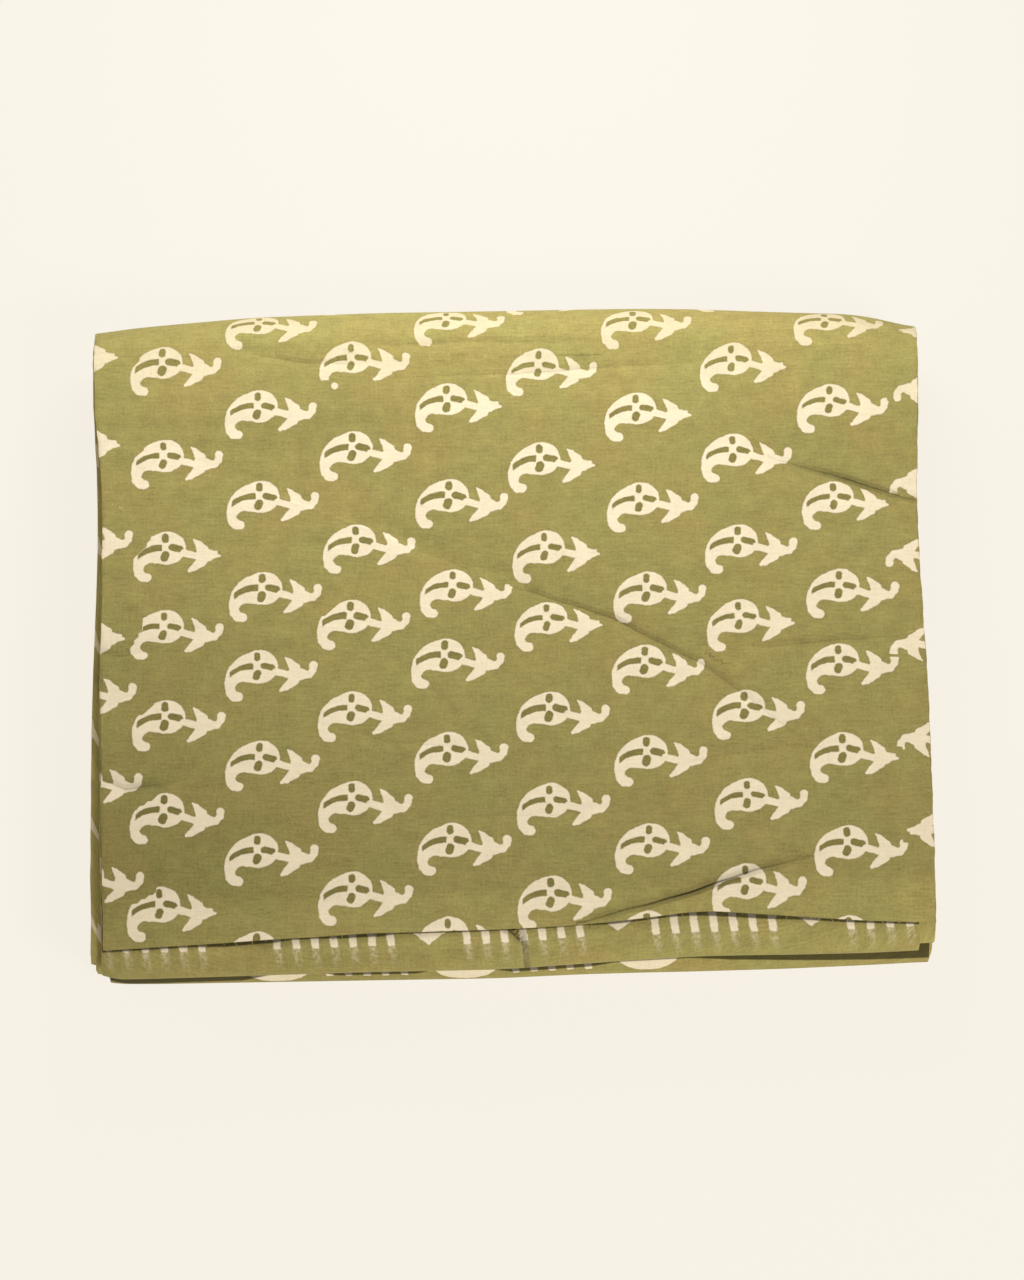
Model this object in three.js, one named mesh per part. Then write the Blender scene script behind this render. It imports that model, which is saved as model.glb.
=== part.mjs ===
// Folded length of block-printed cotton, lying flat with its round back fold away from the reader.
// The cloth is one sheet. It runs back and forth sixteen times, and its folds nest inside each other.
// X runs along the folds, Y runs from the front to the back, Z is up. Sizes are in millimetres.

import * as THREE from 'three';

// Driving dimensions of the sheet and of the stack

const SHEET = 2.1;
const PITCH = 2.9;
const LAYERS = 16;
const HEIGHT = (LAYERS - 1) * PITCH + SHEET;
const BACK_RADIUS = HEIGHT / 2;

// The upper bundle is layers 2 to 8, the lower bundle is layers 9 to 16, and layer 1 is the loose flap.

const LAST_UPPER_LAYER = 8;
const UPPER_RADIUS = ((LAST_UPPER_LAYER - 2) * PITCH + SHEET) / 2;
const LOWER_RADIUS = ((LAYERS - LAST_UPPER_LAYER - 1) * PITCH + SHEET) / 2;

// Nominal places of the outer surfaces, before the outline tables below bend them

const BACK_END = 160;
const NOMINAL_FRONT = { flap: -145, upper: -159, lower: -157 };
const INNER_END_GAP = 2;

// The layers in the order in which the cloth passes through them, from the flap's edge to the hidden end

const LAYER_ORDER = [1, 16, 9, 8, 2, 15, 10, 7, 3, 14, 11, 6, 4, 13, 12, 5];

// Where the two selvedges lie at each turn of the cloth: one row for each free edge or fold, in cloth order

const TURNS = [
  { turn: 'flap front edge', left: -180, right: 187 },
  { turn: 'back 1 to 16', left: -192, right: 186 },
  { turn: 'front 16 to 9', left: -179, right: 186 },
  { turn: 'back 9 to 8', left: -192, right: 185 },
  { turn: 'front 8 to 2', left: -181, right: 180 },
  { turn: 'back 2 to 15', left: -192, right: 185 },
  { turn: 'front 15 to 10', left: -185, right: 187 },
  { turn: 'back 10 to 7', left: -192, right: 186 },
  { turn: 'front 7 to 3', left: -186, right: 187 },
  { turn: 'back 3 to 14', left: -192.5, right: 185 },
  { turn: 'front 14 to 11', left: -184, right: 185 },
  { turn: 'back 11 to 6', left: -192, right: 187 },
  { turn: 'front 6 to 4', left: -185.5, right: 186 },
  { turn: 'back 4 to 13', left: -192, right: 185 },
  { turn: 'front 13 to 12', left: -185, right: 184 },
  { turn: 'back 12 to 5', left: -192, right: 186 },
  { turn: 'hidden end', left: -186, right: 185 },
];

// The outline from above: how far each edge reaches in Y, one row for each place along X

const OUTLINE = [
  { x: -195, back: 147.5, flap: -154.2, upper: -154, lower: -155 },
  { x: -182, back: 150, flap: -153.5, upper: -163.5, lower: -159.5 },
  { x: -165, back: 152, flap: -152.3, upper: -163.5, lower: -159.8 },
  { x: -120, back: 156.3, flap: -149.4, upper: -162, lower: -159 },
  { x: -64, back: 158.6, flap: -145.6, upper: -160.2, lower: -158 },
  { x: -6, back: 159.6, flap: -143.7, upper: -159, lower: -157 },
  { x: 30, back: 160.4, flap: -142, upper: -156.4, lower: -155.2 },
  { x: 56, back: 160.8, flap: -139.4, upper: -154.6, lower: -154.4 },
  { x: 83, back: 160.6, flap: -135.8, upper: -153, lower: -153.8 },
  { x: 122, back: 159.1, flap: -138, upper: -152.5, lower: -152.6 },
  { x: 160, back: 158, flap: -140.3, upper: -151.6, lower: -150.8 },
  { x: 188, back: 151, flap: -140.9, upper: -150, lower: -149.2 },
];

// The front bends down towards its edge, and the two bundles part a little at the front on the right.

const FRONT_DROOP = { drop: 3.6, start: -112, end: -152 };
const FRONT_PART = { lift: 1.2, start: 55, full: 110 };
const FRONT_BLEND = { start: -60, end: -122 };
const BACK_BLEND = { start: 60, end: 125 };

// Soft ridges and troughs across the top, one row each: the two ends, the height and the half width

const CREASES = [
  { x0: -140, y0: 82, x1: -6, y1: 22, height: -1.3, width: 27 },
  { x0: -6, y0: 22, x1: 128, y1: -48, height: -1.5, width: 27 },
  { x0: 118, y0: 85, x1: 178, y1: 66, height: -1.6, width: 18 },
  { x0: 38, y0: -140, x1: 126, y1: -112, height: 1.5, width: 16 },
  { x0: -120, y0: 128, x1: 86, y1: 126, height: -1, width: 20 },
  { x0: -60, y0: -90, x1: 30, y1: -88, height: 1, width: 24 },
];
const SWELL = { rise: 1.2, halfLength: 150, halfDepth: 110 };
const STACK_FADE = 2;
const CREASE_FADE = 5;

// Both selvedges are drawn in a little behind the middle.

const WAIST = { drawnIn: 2.6, y: 48, halfDepth: 58 };

// How finely the sheet is divided: across its width, along each layer and round each fold

const WIDTH_STATIONS = [0, 0.03, 0.13, 0.26, 0.4, 0.53, 0.65, 0.76, 0.87, 0.95, 1];
const TOP_PLACES = [118, 92, 66, 38, 8, -22, -50, -76, -100, -118, -132];
const DEEP_PLACES = [66, -22, -76, -118, -132];
const LAST_TOP_LAYER = 4;
const FOLD_STEP = Math.PI / 8;
const SMALL_FOLD_STEP = Math.PI / 4;
const SMALL_FOLD_RADIUS = 2.5;

const CLOTH_COLOUR = 0xa39758;
const CLOTH_ROUGHNESS = 0.9;

// Small helpers for the tables

function smoothRamp(value, from, to) {
  const share = THREE.MathUtils.clamp((value - from) / (to - from), 0, 1);
  return share * share * (3 - 2 * share);
}

function readOutline(x, column) {
  const last = OUTLINE.length - 1;
  if (x <= OUTLINE[0].x) {
    return OUTLINE[0][column];
  }
  if (x >= OUTLINE[last].x) {
    return OUTLINE[last][column];
  }
  const next = OUTLINE.findIndex((row) => row.x > x);
  const before = OUTLINE[next - 1];
  const after = OUTLINE[next];
  const share = (x - before.x) / (after.x - before.x);
  return THREE.MathUtils.lerp(before[column], after[column], share);
}

function layerHeight(layer) {
  return (LAYERS - layer) * PITCH + SHEET / 2;
}

function bundleOf(layer) {
  if (layer === 1) {
    return 'flap';
  }
  return layer <= LAST_UPPER_LAYER ? 'upper' : 'lower';
}

// The centres of the nested folds, which are also the ends of the flat runs

const BACK_CENTRE = BACK_END - BACK_RADIUS;
const FRONT_CENTRE = {
  flap: NOMINAL_FRONT.flap,
  upper: NOMINAL_FRONT.upper + UPPER_RADIUS,
  lower: NOMINAL_FRONT.lower + LOWER_RADIUS,
};

// Each point of the section holds its printed face, its plain face, its bundle, and the turn that it follows.
// Its share says how far it has come from that turn towards the next one.

// A flat run through one layer. The cloth goes back on even runs, with its print up, and forward on odd runs.

function addRun(points, run) {
  const layer = LAYER_ORDER[run];
  const bundle = bundleOf(layer);
  const goesBack = run % 2 === 0;
  const isHiddenEnd = run === LAYER_ORDER.length - 1;
  const frontPlace = isHiddenEnd ? FRONT_CENTRE.upper + INNER_END_GAP : FRONT_CENTRE[bundle];
  const between = layer <= LAST_TOP_LAYER ? TOP_PLACES : DEEP_PLACES;
  const places = [BACK_CENTRE, ...between, frontPlace];
  if (goesBack) {
    places.reverse();
  }
  const side = goesBack ? 1 : -1;
  const middle = layerHeight(layer);
  for (const y of places) {
    const travelled = Math.abs(y - places[0]) / Math.abs(BACK_CENTRE - frontPlace);
    const printed = { y, h: middle + (side * SHEET) / 2 };
    const plain = { y, h: middle - (side * SHEET) / 2 };
    points.push({ printed, plain, bundle, turn: run, share: travelled });
  }
}

// A half round fold between the run before it and the run after it

function addFold(points, run) {
  const from = layerHeight(LAYER_ORDER[run]);
  const to = layerHeight(LAYER_ORDER[run + 1]);
  const atBack = run % 2 === 0;
  const bundle = bundleOf(LAYER_ORDER[run + 1]);
  const centre = atBack ? BACK_CENTRE : FRONT_CENTRE[bundle];
  const middle = (from + to) / 2;
  const radius = Math.abs(from - to) / 2;
  const goesDown = to < from;
  const printedOutside = atBack === goesDown;
  const printedRadius = radius + (printedOutside ? SHEET : -SHEET) / 2;
  const plainRadius = radius - (printedOutside ? SHEET : -SHEET) / 2;
  const step = radius < SMALL_FOLD_RADIUS ? SMALL_FOLD_STEP : FOLD_STEP;
  const steps = Math.round(Math.PI / step);
  for (let i = 1; i < steps; i += 1) {
    const angle = i * step;
    const alongY = (atBack ? 1 : -1) * Math.sin(angle);
    const alongZ = (goesDown ? 1 : -1) * Math.cos(angle);
    const printed = { y: centre + printedRadius * alongY, h: middle + printedRadius * alongZ };
    const plain = { y: centre + plainRadius * alongY, h: middle + plainRadius * alongZ };
    points.push({ printed, plain, bundle, turn: run + 1, share: 0 });
  }
}

function clothSection() {
  const points = [];
  for (let run = 0; run < LAYER_ORDER.length; run += 1) {
    addRun(points, run);
    if (run < LAYER_ORDER.length - 1) {
      addFold(points, run);
    }
  }
  return points;
}

// How far the top is raised or sunk at one place. Both kinds of change fade to nothing at the underside.

function creaseHeight(x, y) {
  let total = 0;
  for (const crease of CREASES) {
    const dx = crease.x1 - crease.x0;
    const dy = crease.y1 - crease.y0;
    const along = ((x - crease.x0) * dx + (y - crease.y0) * dy) / (dx * dx + dy * dy);
    const held = THREE.MathUtils.clamp(along, 0, 1);
    const away = Math.hypot(x - crease.x0 - held * dx, y - crease.y0 - held * dy);
    total += crease.height * Math.exp(-((away / crease.width) ** 2));
  }
  return total;
}

function topChange(x, y) {
  const swell = SWELL.rise * Math.exp(-((x / SWELL.halfLength) ** 2) - (y / SWELL.halfDepth) ** 2);
  const droop = FRONT_DROOP.drop * smoothRamp(y, FRONT_DROOP.start, FRONT_DROOP.end);
  return swell - droop;
}

// Moves a point of the nominal section to its real place

function placePoint(point, face, across) {
  const before = TURNS[point.turn];
  const after = TURNS[Math.min(point.turn + 1, TURNS.length - 1)];
  const left = THREE.MathUtils.lerp(before.left, after.left, point.share);
  const right = THREE.MathUtils.lerp(before.right, after.right, point.share);
  const nominal = point[face];
  const waist = WAIST.drawnIn * Math.exp(-(((nominal.y - WAIST.y) / WAIST.halfDepth) ** 2));
  const x = THREE.MathUtils.lerp(left, right, across) - waist * (2 * across - 1) ** 3;
  const atFront = smoothRamp(nominal.y, FRONT_BLEND.start, FRONT_BLEND.end);
  const atBack = smoothRamp(nominal.y, BACK_BLEND.start, BACK_BLEND.end);
  const frontShift = atFront * (readOutline(x, point.bundle) - NOMINAL_FRONT[point.bundle]);
  const backShift = atBack * (readOutline(x, 'back') - BACK_END);
  const y = nominal.y + frontShift + backShift;
  const fromBelow = nominal.h / HEIGHT;
  const parting = point.bundle === 'lower' ? 0 : FRONT_PART.lift;
  const lift = parting * atFront * smoothRamp(x, FRONT_PART.start, FRONT_PART.full);
  const change = topChange(x, y) * fromBelow ** STACK_FADE;
  const crease = creaseHeight(x, y) * fromBelow ** CREASE_FADE;
  const z = nominal.h + change + crease + lift;
  return new THREE.Vector3(x, y, z);
}

// The sheet as one closed skin: two faces, the two selvedges and the two cut ends

function clothGeometry() {
  const section = clothSection();
  const ring = [
    ...section.map((point) => [point, 'printed']),
    ...section.map((point) => [point, 'plain']).reverse(),
  ];
  const positions = [];
  for (const across of WIDTH_STATIONS) {
    for (const [point, face] of ring) {
      positions.push(...placePoint(point, face, across).toArray());
    }
  }
  const index = [];
  const quad = (a, b, c, d) => index.push(a, b, c, a, c, d);
  const count = ring.length;
  const lastStation = (WIDTH_STATIONS.length - 1) * count;
  for (let station = 0; station < WIDTH_STATIONS.length - 1; station += 1) {
    const here = station * count;
    const next = here + count;
    for (let i = 0; i < count; i += 1) {
      const j = (i + 1) % count;
      quad(here + i, next + i, next + j, here + j);
    }
  }
  for (let i = 0; i < section.length - 1; i += 1) {
    const opposite = count - 1 - i;
    quad(i, i + 1, opposite - 1, opposite);
    quad(lastStation + i, lastStation + opposite, lastStation + opposite - 1, lastStation + i + 1);
  }
  const geometry = new THREE.BufferGeometry();
  geometry.setAttribute('position', new THREE.Float32BufferAttribute(positions, 3));
  geometry.setIndex(index);
  return geometry;
}

// The finished part, with the middle of its underside at the origin

const geometry = clothGeometry();
geometry.computeBoundingBox();
const centre = geometry.boundingBox.getCenter(new THREE.Vector3());
geometry.translate(-centre.x, -centre.y, -geometry.boundingBox.min.z);
geometry.computeVertexNormals();

const material = new THREE.MeshStandardMaterial({
  color: CLOTH_COLOUR,
  roughness: CLOTH_ROUGHNESS,
  metalness: 0,
});
const cloth = new THREE.Mesh(geometry, material);
cloth.name = 'folded_cloth';

const part = new THREE.Group();
part.add(cloth);

export default part;
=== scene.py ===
# %% [markdown]
# This lesson dresses a folded length of dabu print cotton.
# Dabu is a mud resist: a block prints mud on white cotton, the cloth is dyed, and the mud washes off.
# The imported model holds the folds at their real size, so it is loaded first as the fixed frame.

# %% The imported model
import math

import bpy
import numpy as np
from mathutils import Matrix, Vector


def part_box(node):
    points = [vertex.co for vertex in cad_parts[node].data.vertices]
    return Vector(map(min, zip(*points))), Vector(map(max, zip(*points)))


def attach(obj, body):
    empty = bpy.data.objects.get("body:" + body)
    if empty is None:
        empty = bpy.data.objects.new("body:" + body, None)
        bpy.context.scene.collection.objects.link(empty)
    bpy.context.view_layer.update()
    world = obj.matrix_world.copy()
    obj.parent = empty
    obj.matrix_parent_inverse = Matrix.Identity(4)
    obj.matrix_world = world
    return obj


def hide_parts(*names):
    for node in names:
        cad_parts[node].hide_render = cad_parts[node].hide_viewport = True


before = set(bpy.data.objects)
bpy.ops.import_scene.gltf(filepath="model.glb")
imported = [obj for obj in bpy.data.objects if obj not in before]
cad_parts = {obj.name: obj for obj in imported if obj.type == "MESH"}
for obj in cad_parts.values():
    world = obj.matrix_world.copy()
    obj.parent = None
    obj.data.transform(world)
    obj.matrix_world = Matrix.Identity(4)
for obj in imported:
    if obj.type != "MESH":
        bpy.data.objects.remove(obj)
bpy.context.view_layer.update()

MM = 0.001
CLOTH_LOW, CLOTH_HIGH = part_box("folded_cloth")
random_numbers = np.random.default_rng(11)
print("The packed cloth in mm:", [round(v / MM, 1) for v in (*CLOTH_LOW, *CLOTH_HIGH)])

# %% [markdown]
# The cloth is one sheet that runs back and forth sixteen times. Its folds nest inside each other.
# A simulation could fold it, but it would never give the same neat stack twice.
# So the section is worked out by rule: flat runs, half round folds, and two small tables for the outline.
# X runs along the folds, Y from front to back, Z is up. Sizes are in millimetres.

# %% Driving sizes of the sheet and of the stack
SHEET = 2.1
PITCH = 2.9
LAYERS = 16
HEIGHT = (LAYERS - 1) * PITCH + SHEET
BACK_RADIUS = HEIGHT / 2
LAST_UPPER_LAYER = 8
UPPER_RADIUS = ((LAST_UPPER_LAYER - 2) * PITCH + SHEET) / 2
LOWER_RADIUS = ((LAYERS - LAST_UPPER_LAYER - 1) * PITCH + SHEET) / 2
BACK_END = 160
NOMINAL_FRONT = (-145, -159, -157)
INNER_END_GAP = 2
FLAP, UPPER, LOWER = 0, 1, 2
LAYER_ORDER = [1, 16, 9, 8, 2, 15, 10, 7, 3, 14, 11, 6, 4, 13, 12, 5]

# Where the left and the right selvedge lie at each turn of the cloth, in cloth order
TURNS = np.array([
    (-180, 187),      # front edge of the flap
    (-192, 186),      # back fold, layer 1 to 16
    (-179, 186),      # front fold, 16 to 9
    (-192, 185),      # back fold, 9 to 8
    (-181, 180),      # front fold, 8 to 2
    (-192, 185),      # back fold, 2 to 15
    (-185, 187),      # front fold, 15 to 10
    (-192, 186),      # back fold, 10 to 7
    (-186, 187),      # front fold, 7 to 3
    (-192.5, 185),    # back fold, 3 to 14
    (-184, 185),      # front fold, 14 to 11
    (-192, 187),      # back fold, 11 to 6
    (-185.5, 186),    # front fold, 6 to 4
    (-192, 185),      # back fold, 4 to 13
    (-185, 184),      # front fold, 13 to 12
    (-192, 186),      # back fold, 12 to 5
    (-186, 185),      # hidden end
])

# How far each edge reaches in Y, one row for each place along X: back, flap, upper bundle, lower bundle
OUTLINE = np.array([
    (-195, 147.5, -154.2, -154.0, -155.0),
    (-182, 150.0, -153.5, -163.5, -159.5),
    (-165, 152.0, -152.3, -163.5, -159.8),
    (-120, 156.3, -149.4, -162.0, -159.0),
    (-64, 158.6, -145.6, -160.2, -158.0),
    (-6, 159.6, -143.7, -159.0, -157.0),
    (30, 160.4, -142.0, -156.4, -155.2),
    (56, 160.8, -139.4, -154.6, -154.4),
    (83, 160.6, -135.8, -153.0, -153.8),
    (122, 159.1, -138.0, -152.5, -152.6),
    (160, 158.0, -140.3, -151.6, -150.8),
    (188, 151.0, -140.9, -150.0, -149.2),
])
print("Stack height:", round(HEIGHT, 1), "mm, in", LAYERS, "layers")

# %% [markdown]
# The section is a list of rows. Each row has a point on the printed face and one on the plain face.
# Rows that show are close together, because small creases need them. Hidden rows are far apart.

# %% The folded section
FINE_STEP = 1.6
HIDDEN_PLACES = [118, 92, 66, 38, 8, -22, -50, -76, -100, -118, -132]
BAND_RUN_LENGTH = 20
HIDDEN_FOLD_STEP = 3.2
FEWEST_FOLD_STEPS = 6
FIELD, UPPER_BAND, LOWER_BAND = 0, 1, 2
BACK_CENTRE = BACK_END - BACK_RADIUS
FRONT_CENTRE = (
    NOMINAL_FRONT[FLAP],
    NOMINAL_FRONT[UPPER] + UPPER_RADIUS,
    NOMINAL_FRONT[LOWER] + LOWER_RADIUS,
)
ROW_FIELDS = (
    "printed_y", "printed_h", "plain_y", "plain_h",
    "bundle", "turn", "share", "fine", "zone", "layer",
)


def layer_height(layer):
    return (LAYERS - layer) * PITCH + SHEET / 2


def bundle_of(layer):
    if layer == 1:
        return FLAP
    return UPPER if layer <= LAST_UPPER_LAYER else LOWER


def run_rows(run):
    """The rows of one flat run. The cloth goes back on even runs, with its print up."""
    layer = LAYER_ORDER[run]
    bundle = bundle_of(layer)
    goes_back = run % 2 == 0
    hidden_end = run == len(LAYER_ORDER) - 1
    front = FRONT_CENTRE[UPPER] + INNER_END_GAP if hidden_end else FRONT_CENTRE[bundle]
    if layer == 1:
        places = np.linspace(front, BACK_CENTRE, round((BACK_CENTRE - front) / FINE_STEP))
    else:
        places = np.array([front, *reversed(HIDDEN_PLACES), BACK_CENTRE])
    if layer == 2:
        near_band = np.arange(front, front + BAND_RUN_LENGTH, FINE_STEP)
        places = np.concatenate([near_band, places[places > front + BAND_RUN_LENGTH + FINE_STEP]])
    if not goes_back:
        places = places[::-1]
    side = 1 if goes_back else -1
    middle = layer_height(layer)
    rows = []
    for y in places:
        share = abs(y - places[0]) / abs(places[-1] - places[0])
        in_band = layer == 2 and y < front + BAND_RUN_LENGTH
        fine = layer == 1 or in_band
        zone = UPPER_BAND if in_band else FIELD
        faces = (y, middle + side * SHEET / 2, y, middle - side * SHEET / 2)
        rows.append((*faces, bundle, run, share, fine, zone, layer))
    return rows


def fold_rows(run):
    """The rows of the half round fold between one run and the next."""
    start, end = (layer_height(LAYER_ORDER[i]) for i in (run, run + 1))
    at_back = run % 2 == 0
    next_layer = LAYER_ORDER[run + 1]
    bundle = bundle_of(next_layer)
    centre = BACK_CENTRE if at_back else FRONT_CENTRE[bundle]
    middle = (start + end) / 2
    radius = abs(start - end) / 2
    outwards = SHEET / 2 if at_back == (end < start) else -SHEET / 2
    outer_fold = LAYER_ORDER[run] in (1, 16) or next_layer == 2
    step = FINE_STEP if outer_fold else HIDDEN_FOLD_STEP
    count = max(FEWEST_FOLD_STEPS, round(math.pi * radius / step))
    zone = {9: LOWER_BAND, 2: UPPER_BAND}.get(next_layer, FIELD)
    rows = []
    for angle in np.linspace(0, math.pi, count + 1)[1:-1]:
        along_y = math.sin(angle) * (1 if at_back else -1)
        along_z = math.cos(angle) * (1 if end < start else -1)
        faces = []
        for reach in (radius + outwards, radius - outwards):
            faces += [centre + reach * along_y, middle + reach * along_z]
        rows.append((*faces, bundle, run + 1, 0, outer_fold, zone, 0))
    return rows


section_rows = []
for run in range(len(LAYER_ORDER)):
    section_rows += run_rows(run)
    if run < len(LAYER_ORDER) - 1:
        section_rows += fold_rows(run)
section = dict(zip(ROW_FIELDS, np.array(section_rows, float).T))
ROWS = len(section_rows)
print("The section has", ROWS, "rows,", int(section["fine"].sum()), "of them fine")

# %% [markdown]
# Real cloth is never flat. Three kinds of unevenness come next.
# The droop, the swell and the wide ridges go through the upper layers, as they do in the imported model.
# The small creases are only in the top layer. Each is a line with a steep front side and a gentle rear side.

# %% Ridges, troughs and creases
FRONT_DROOP = {"drop": 3.6, "start": -112, "end": -152}
FRONT_PART = {"lift": 1.2, "start": 55, "full": 110}
FRONT_BLEND = (-60, -122)
BACK_BLEND = (60, 125)
SWELL = {"rise": 1.2, "half_length": 150, "half_depth": 110}
STACK_FADE = 2
CREASE_FADE = 5
WAIST = {"drawn_in": 2.6, "y": 48, "half_depth": 58}
FAR_AWAY = 1e6

# Both ends, the height and the half width
WIDE_CREASES = [
    ((-140, 82), (-6, 22), -1.3, 27),
    ((-6, 22), (128, -48), -1.5, 27),
    ((118, 85), (178, 66), -1.6, 18),
    ((38, -140), (126, -112), 1.5, 16),
    ((-120, 128), (86, 126), -1.0, 20),
    ((-60, -90), (30, -88), 1.0, 24),
]

# The line, the height, and the half widths on its front side and on its rear side
SMALL_CREASES = [
    ([(-140, 75), (-44, 36), (4, 17)], -0.5, 2.2, 6.0),
    ([(-44, 36), (4, 17), (44, 2), (84, -19), (129, -55)], -1.3, 3.0, 7.0),
    ([(120, 80), (137, 75), (155.5, 69), (164, 65.6), (188, 58.5)], -1.8, 2.6, 9.0),
    ([(94, -13.5), (116, -12), (138, -9.5), (184, -7)], -1.1, 2.6, 7.0),
    ([(38, -139.7), (47, -137.4), (83, -127.2), (127, -113.8)], -0.6, 1.4, 2.6),
    ([(-123, 132), (-93, 127), (-70, 126)], -1.0, 2.0, 5.0),
    ([(-60, 120), (-1, 122), (40, 124.5), (86, 128)], -1.1, 2.4, 7.0),
    ([(-70, 135), (40, 138)], -0.5, 2.0, 5.0),
    ([(-54, -93), (21, -92)], -0.5, 2.4, 6.0),
    ([(-190, 94), (-120, 92)], -0.4, 2.4, 6.0),
    ([(-182, -46), (-120, -44)], -0.5, 3.0, 7.0),
    ([(-187, -15), (-176, -17), (-160, -13)], -1.0, 2.2, 5.0),
    ([(-184, -75), (-172, -80), (-150, -76)], -1.5, 2.2, 6.0),
    ([(-175, -133), (-85, -127), (-5, -124), (100, -120.5), (186, -119)], 0.7, 5.0, 14.0),
    ([(60, -70), (110, -62), (130, -66)], -0.5, 3.0, 8.0),
    ([(150, 20), (165, -40), (178, -90)], -0.6, 7.0, 7.0),
]

print("Placed", len(WIDE_CREASES), "wide creases and", len(SMALL_CREASES), "small ones")

# %% [markdown]
# Every crease acts by how far a point lies from its line, so that distance is worked out in one place.
# The same function serves the sharp creases and the print later on.

# %% Distances and relief


def smooth_ramp(value, start, end):
    share = np.clip((value - start) / (end - start), 0, 1)
    return share * share * (3 - 2 * share)


def from_segment(x, y, start, end):
    """How far points lie from a straight line, and the share of its length at which each is nearest."""
    dx, dy = end[0] - start[0], end[1] - start[1]
    share = np.clip(((x - start[0]) * dx + (y - start[1]) * dy) / (dx * dx + dy * dy), 0, 1)
    return np.hypot(x - start[0] - share * dx, y - start[1] - share * dy), share


def distance_to_line(x, y, line):
    """The distance to a bent line, above zero on its rear side, and the share of the line up to there."""
    nearest = np.full_like(x, FAR_AWAY)
    side = np.ones_like(x)
    place = np.zeros_like(x)
    lengths = [math.dist(a, b) for a, b in zip(line, line[1:])]
    travelled = 0
    for start, end, length in zip(line, line[1:], lengths):
        away, share = from_segment(x, y, start, end)
        rear = (y - start[1]) * (end[0] - start[0]) - (x - start[0]) * (end[1] - start[1]) > 0
        closer = away < nearest
        nearest = np.where(closer, away, nearest)
        side = np.where(closer, np.where(rear, 1, -1), side)
        place = np.where(closer, (travelled + share * length) / sum(lengths), place)
        travelled += length
    return nearest * side, place


def wide_relief(x, y):
    total = np.zeros_like(x)
    for start, end, height, width in WIDE_CREASES:
        away, _ = from_segment(x, y, start, end)
        total += height * np.exp(-((away / width) ** 2))
    return total


def small_relief(x, y):
    total = np.zeros_like(x)
    for line, height, front_width, rear_width in SMALL_CREASES:
        away, _ = distance_to_line(x, y, line)
        width = np.where(away > 0, rear_width, front_width)
        total += height * np.exp(-((away / width) ** 2))
    return total


relief = small_relief(*np.meshgrid(np.linspace(-180, 180, 91), np.linspace(-140, 140, 71)))
print("The small creases reach from", relief.min().round(1), "to", relief.max().round(1), "mm")

# %% [markdown]
# Each row is now placed at stations across the width, from the left selvedge to the right one.
# The flap's cut edge is thinner than the rest and lifts off the layer below in a few places.

# %% Placing the rows
OUTLINE_SOFTENING = (-9, -4.5, 0, 4.5, 9)
FLAP_EDGE = {"thinner": 1.1, "reach": 13, "settle": 0.35}

# Where the flap's edge lifts: place along X, half width and height
FLAP_LIFTS = [(-106, 15, 0.8), (-64, 17, 0.6), (84, 36, 0.7), (168, 18, 0.4)]
FINE_STATIONS = 217
COARSE_EVERY = 8


def read_outline(x, column):
    values = [np.interp(x + step, OUTLINE[:, 0], OUTLINE[:, column]) for step in OUTLINE_SOFTENING]
    return sum(values) / len(values)


def place_face(face):
    """Positions in mm of one face of the sheet, as rows by stations by three."""
    across = np.linspace(0, 1, FINE_STATIONS)[None, :]
    nominal_y = section[face + "_y"][:, None]
    nominal_h = section[face + "_h"][:, None]
    turn = section["turn"].astype(int)
    share = section["share"][:, None]
    edges = TURNS[turn] * (1 - share) + TURNS[np.minimum(turn + 1, len(TURNS) - 1)] * share
    waist = WAIST["drawn_in"] * np.exp(-(((nominal_y - WAIST["y"]) / WAIST["half_depth"]) ** 2))
    x = edges[:, :1] * (1 - across) + edges[:, 1:] * across - waist * (2 * across - 1) ** 3
    bundle = section["bundle"][:, None].astype(int)
    at_front = smooth_ramp(nominal_y, *FRONT_BLEND)
    at_back = smooth_ramp(nominal_y, *BACK_BLEND)
    fronts = [read_outline(x, 2 + k) - NOMINAL_FRONT[k] for k in (FLAP, UPPER, LOWER)]
    y = nominal_y + at_front * np.choose(bundle, fronts) + at_back * (read_outline(x, 1) - BACK_END)
    from_below = nominal_h / HEIGHT
    part = smooth_ramp(x, FRONT_PART["start"], FRONT_PART["full"]) * at_front * (bundle != LOWER)
    swell = SWELL["rise"] * np.exp(-((x / SWELL["half_length"]) ** 2) - (y / SWELL["half_depth"]) ** 2)
    droop = FRONT_DROOP["drop"] * smooth_ramp(y, FRONT_DROOP["start"], FRONT_DROOP["end"])
    z = nominal_h + (swell - droop) * from_below ** STACK_FADE + FRONT_PART["lift"] * part
    z = z + wide_relief(x, y) * from_below ** CREASE_FADE
    on_flap = (section["layer"] == 1)[:, None]
    flap_edge = NOMINAL_FRONT[FLAP]
    near_edge = on_flap * smooth_ramp(nominal_y, flap_edge + FLAP_EDGE["reach"], flap_edge)
    lifts = sum(height * np.exp(-(((x - place) / width) ** 2)) for place, width, height in FLAP_LIFTS)
    z = z + near_edge * (lifts - FLAP_EDGE["settle"])
    if face == "printed":
        z = z - near_edge * FLAP_EDGE["thinner"] + on_flap * small_relief(x, y)
    return np.stack([x, y, z], axis=-1)


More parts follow.
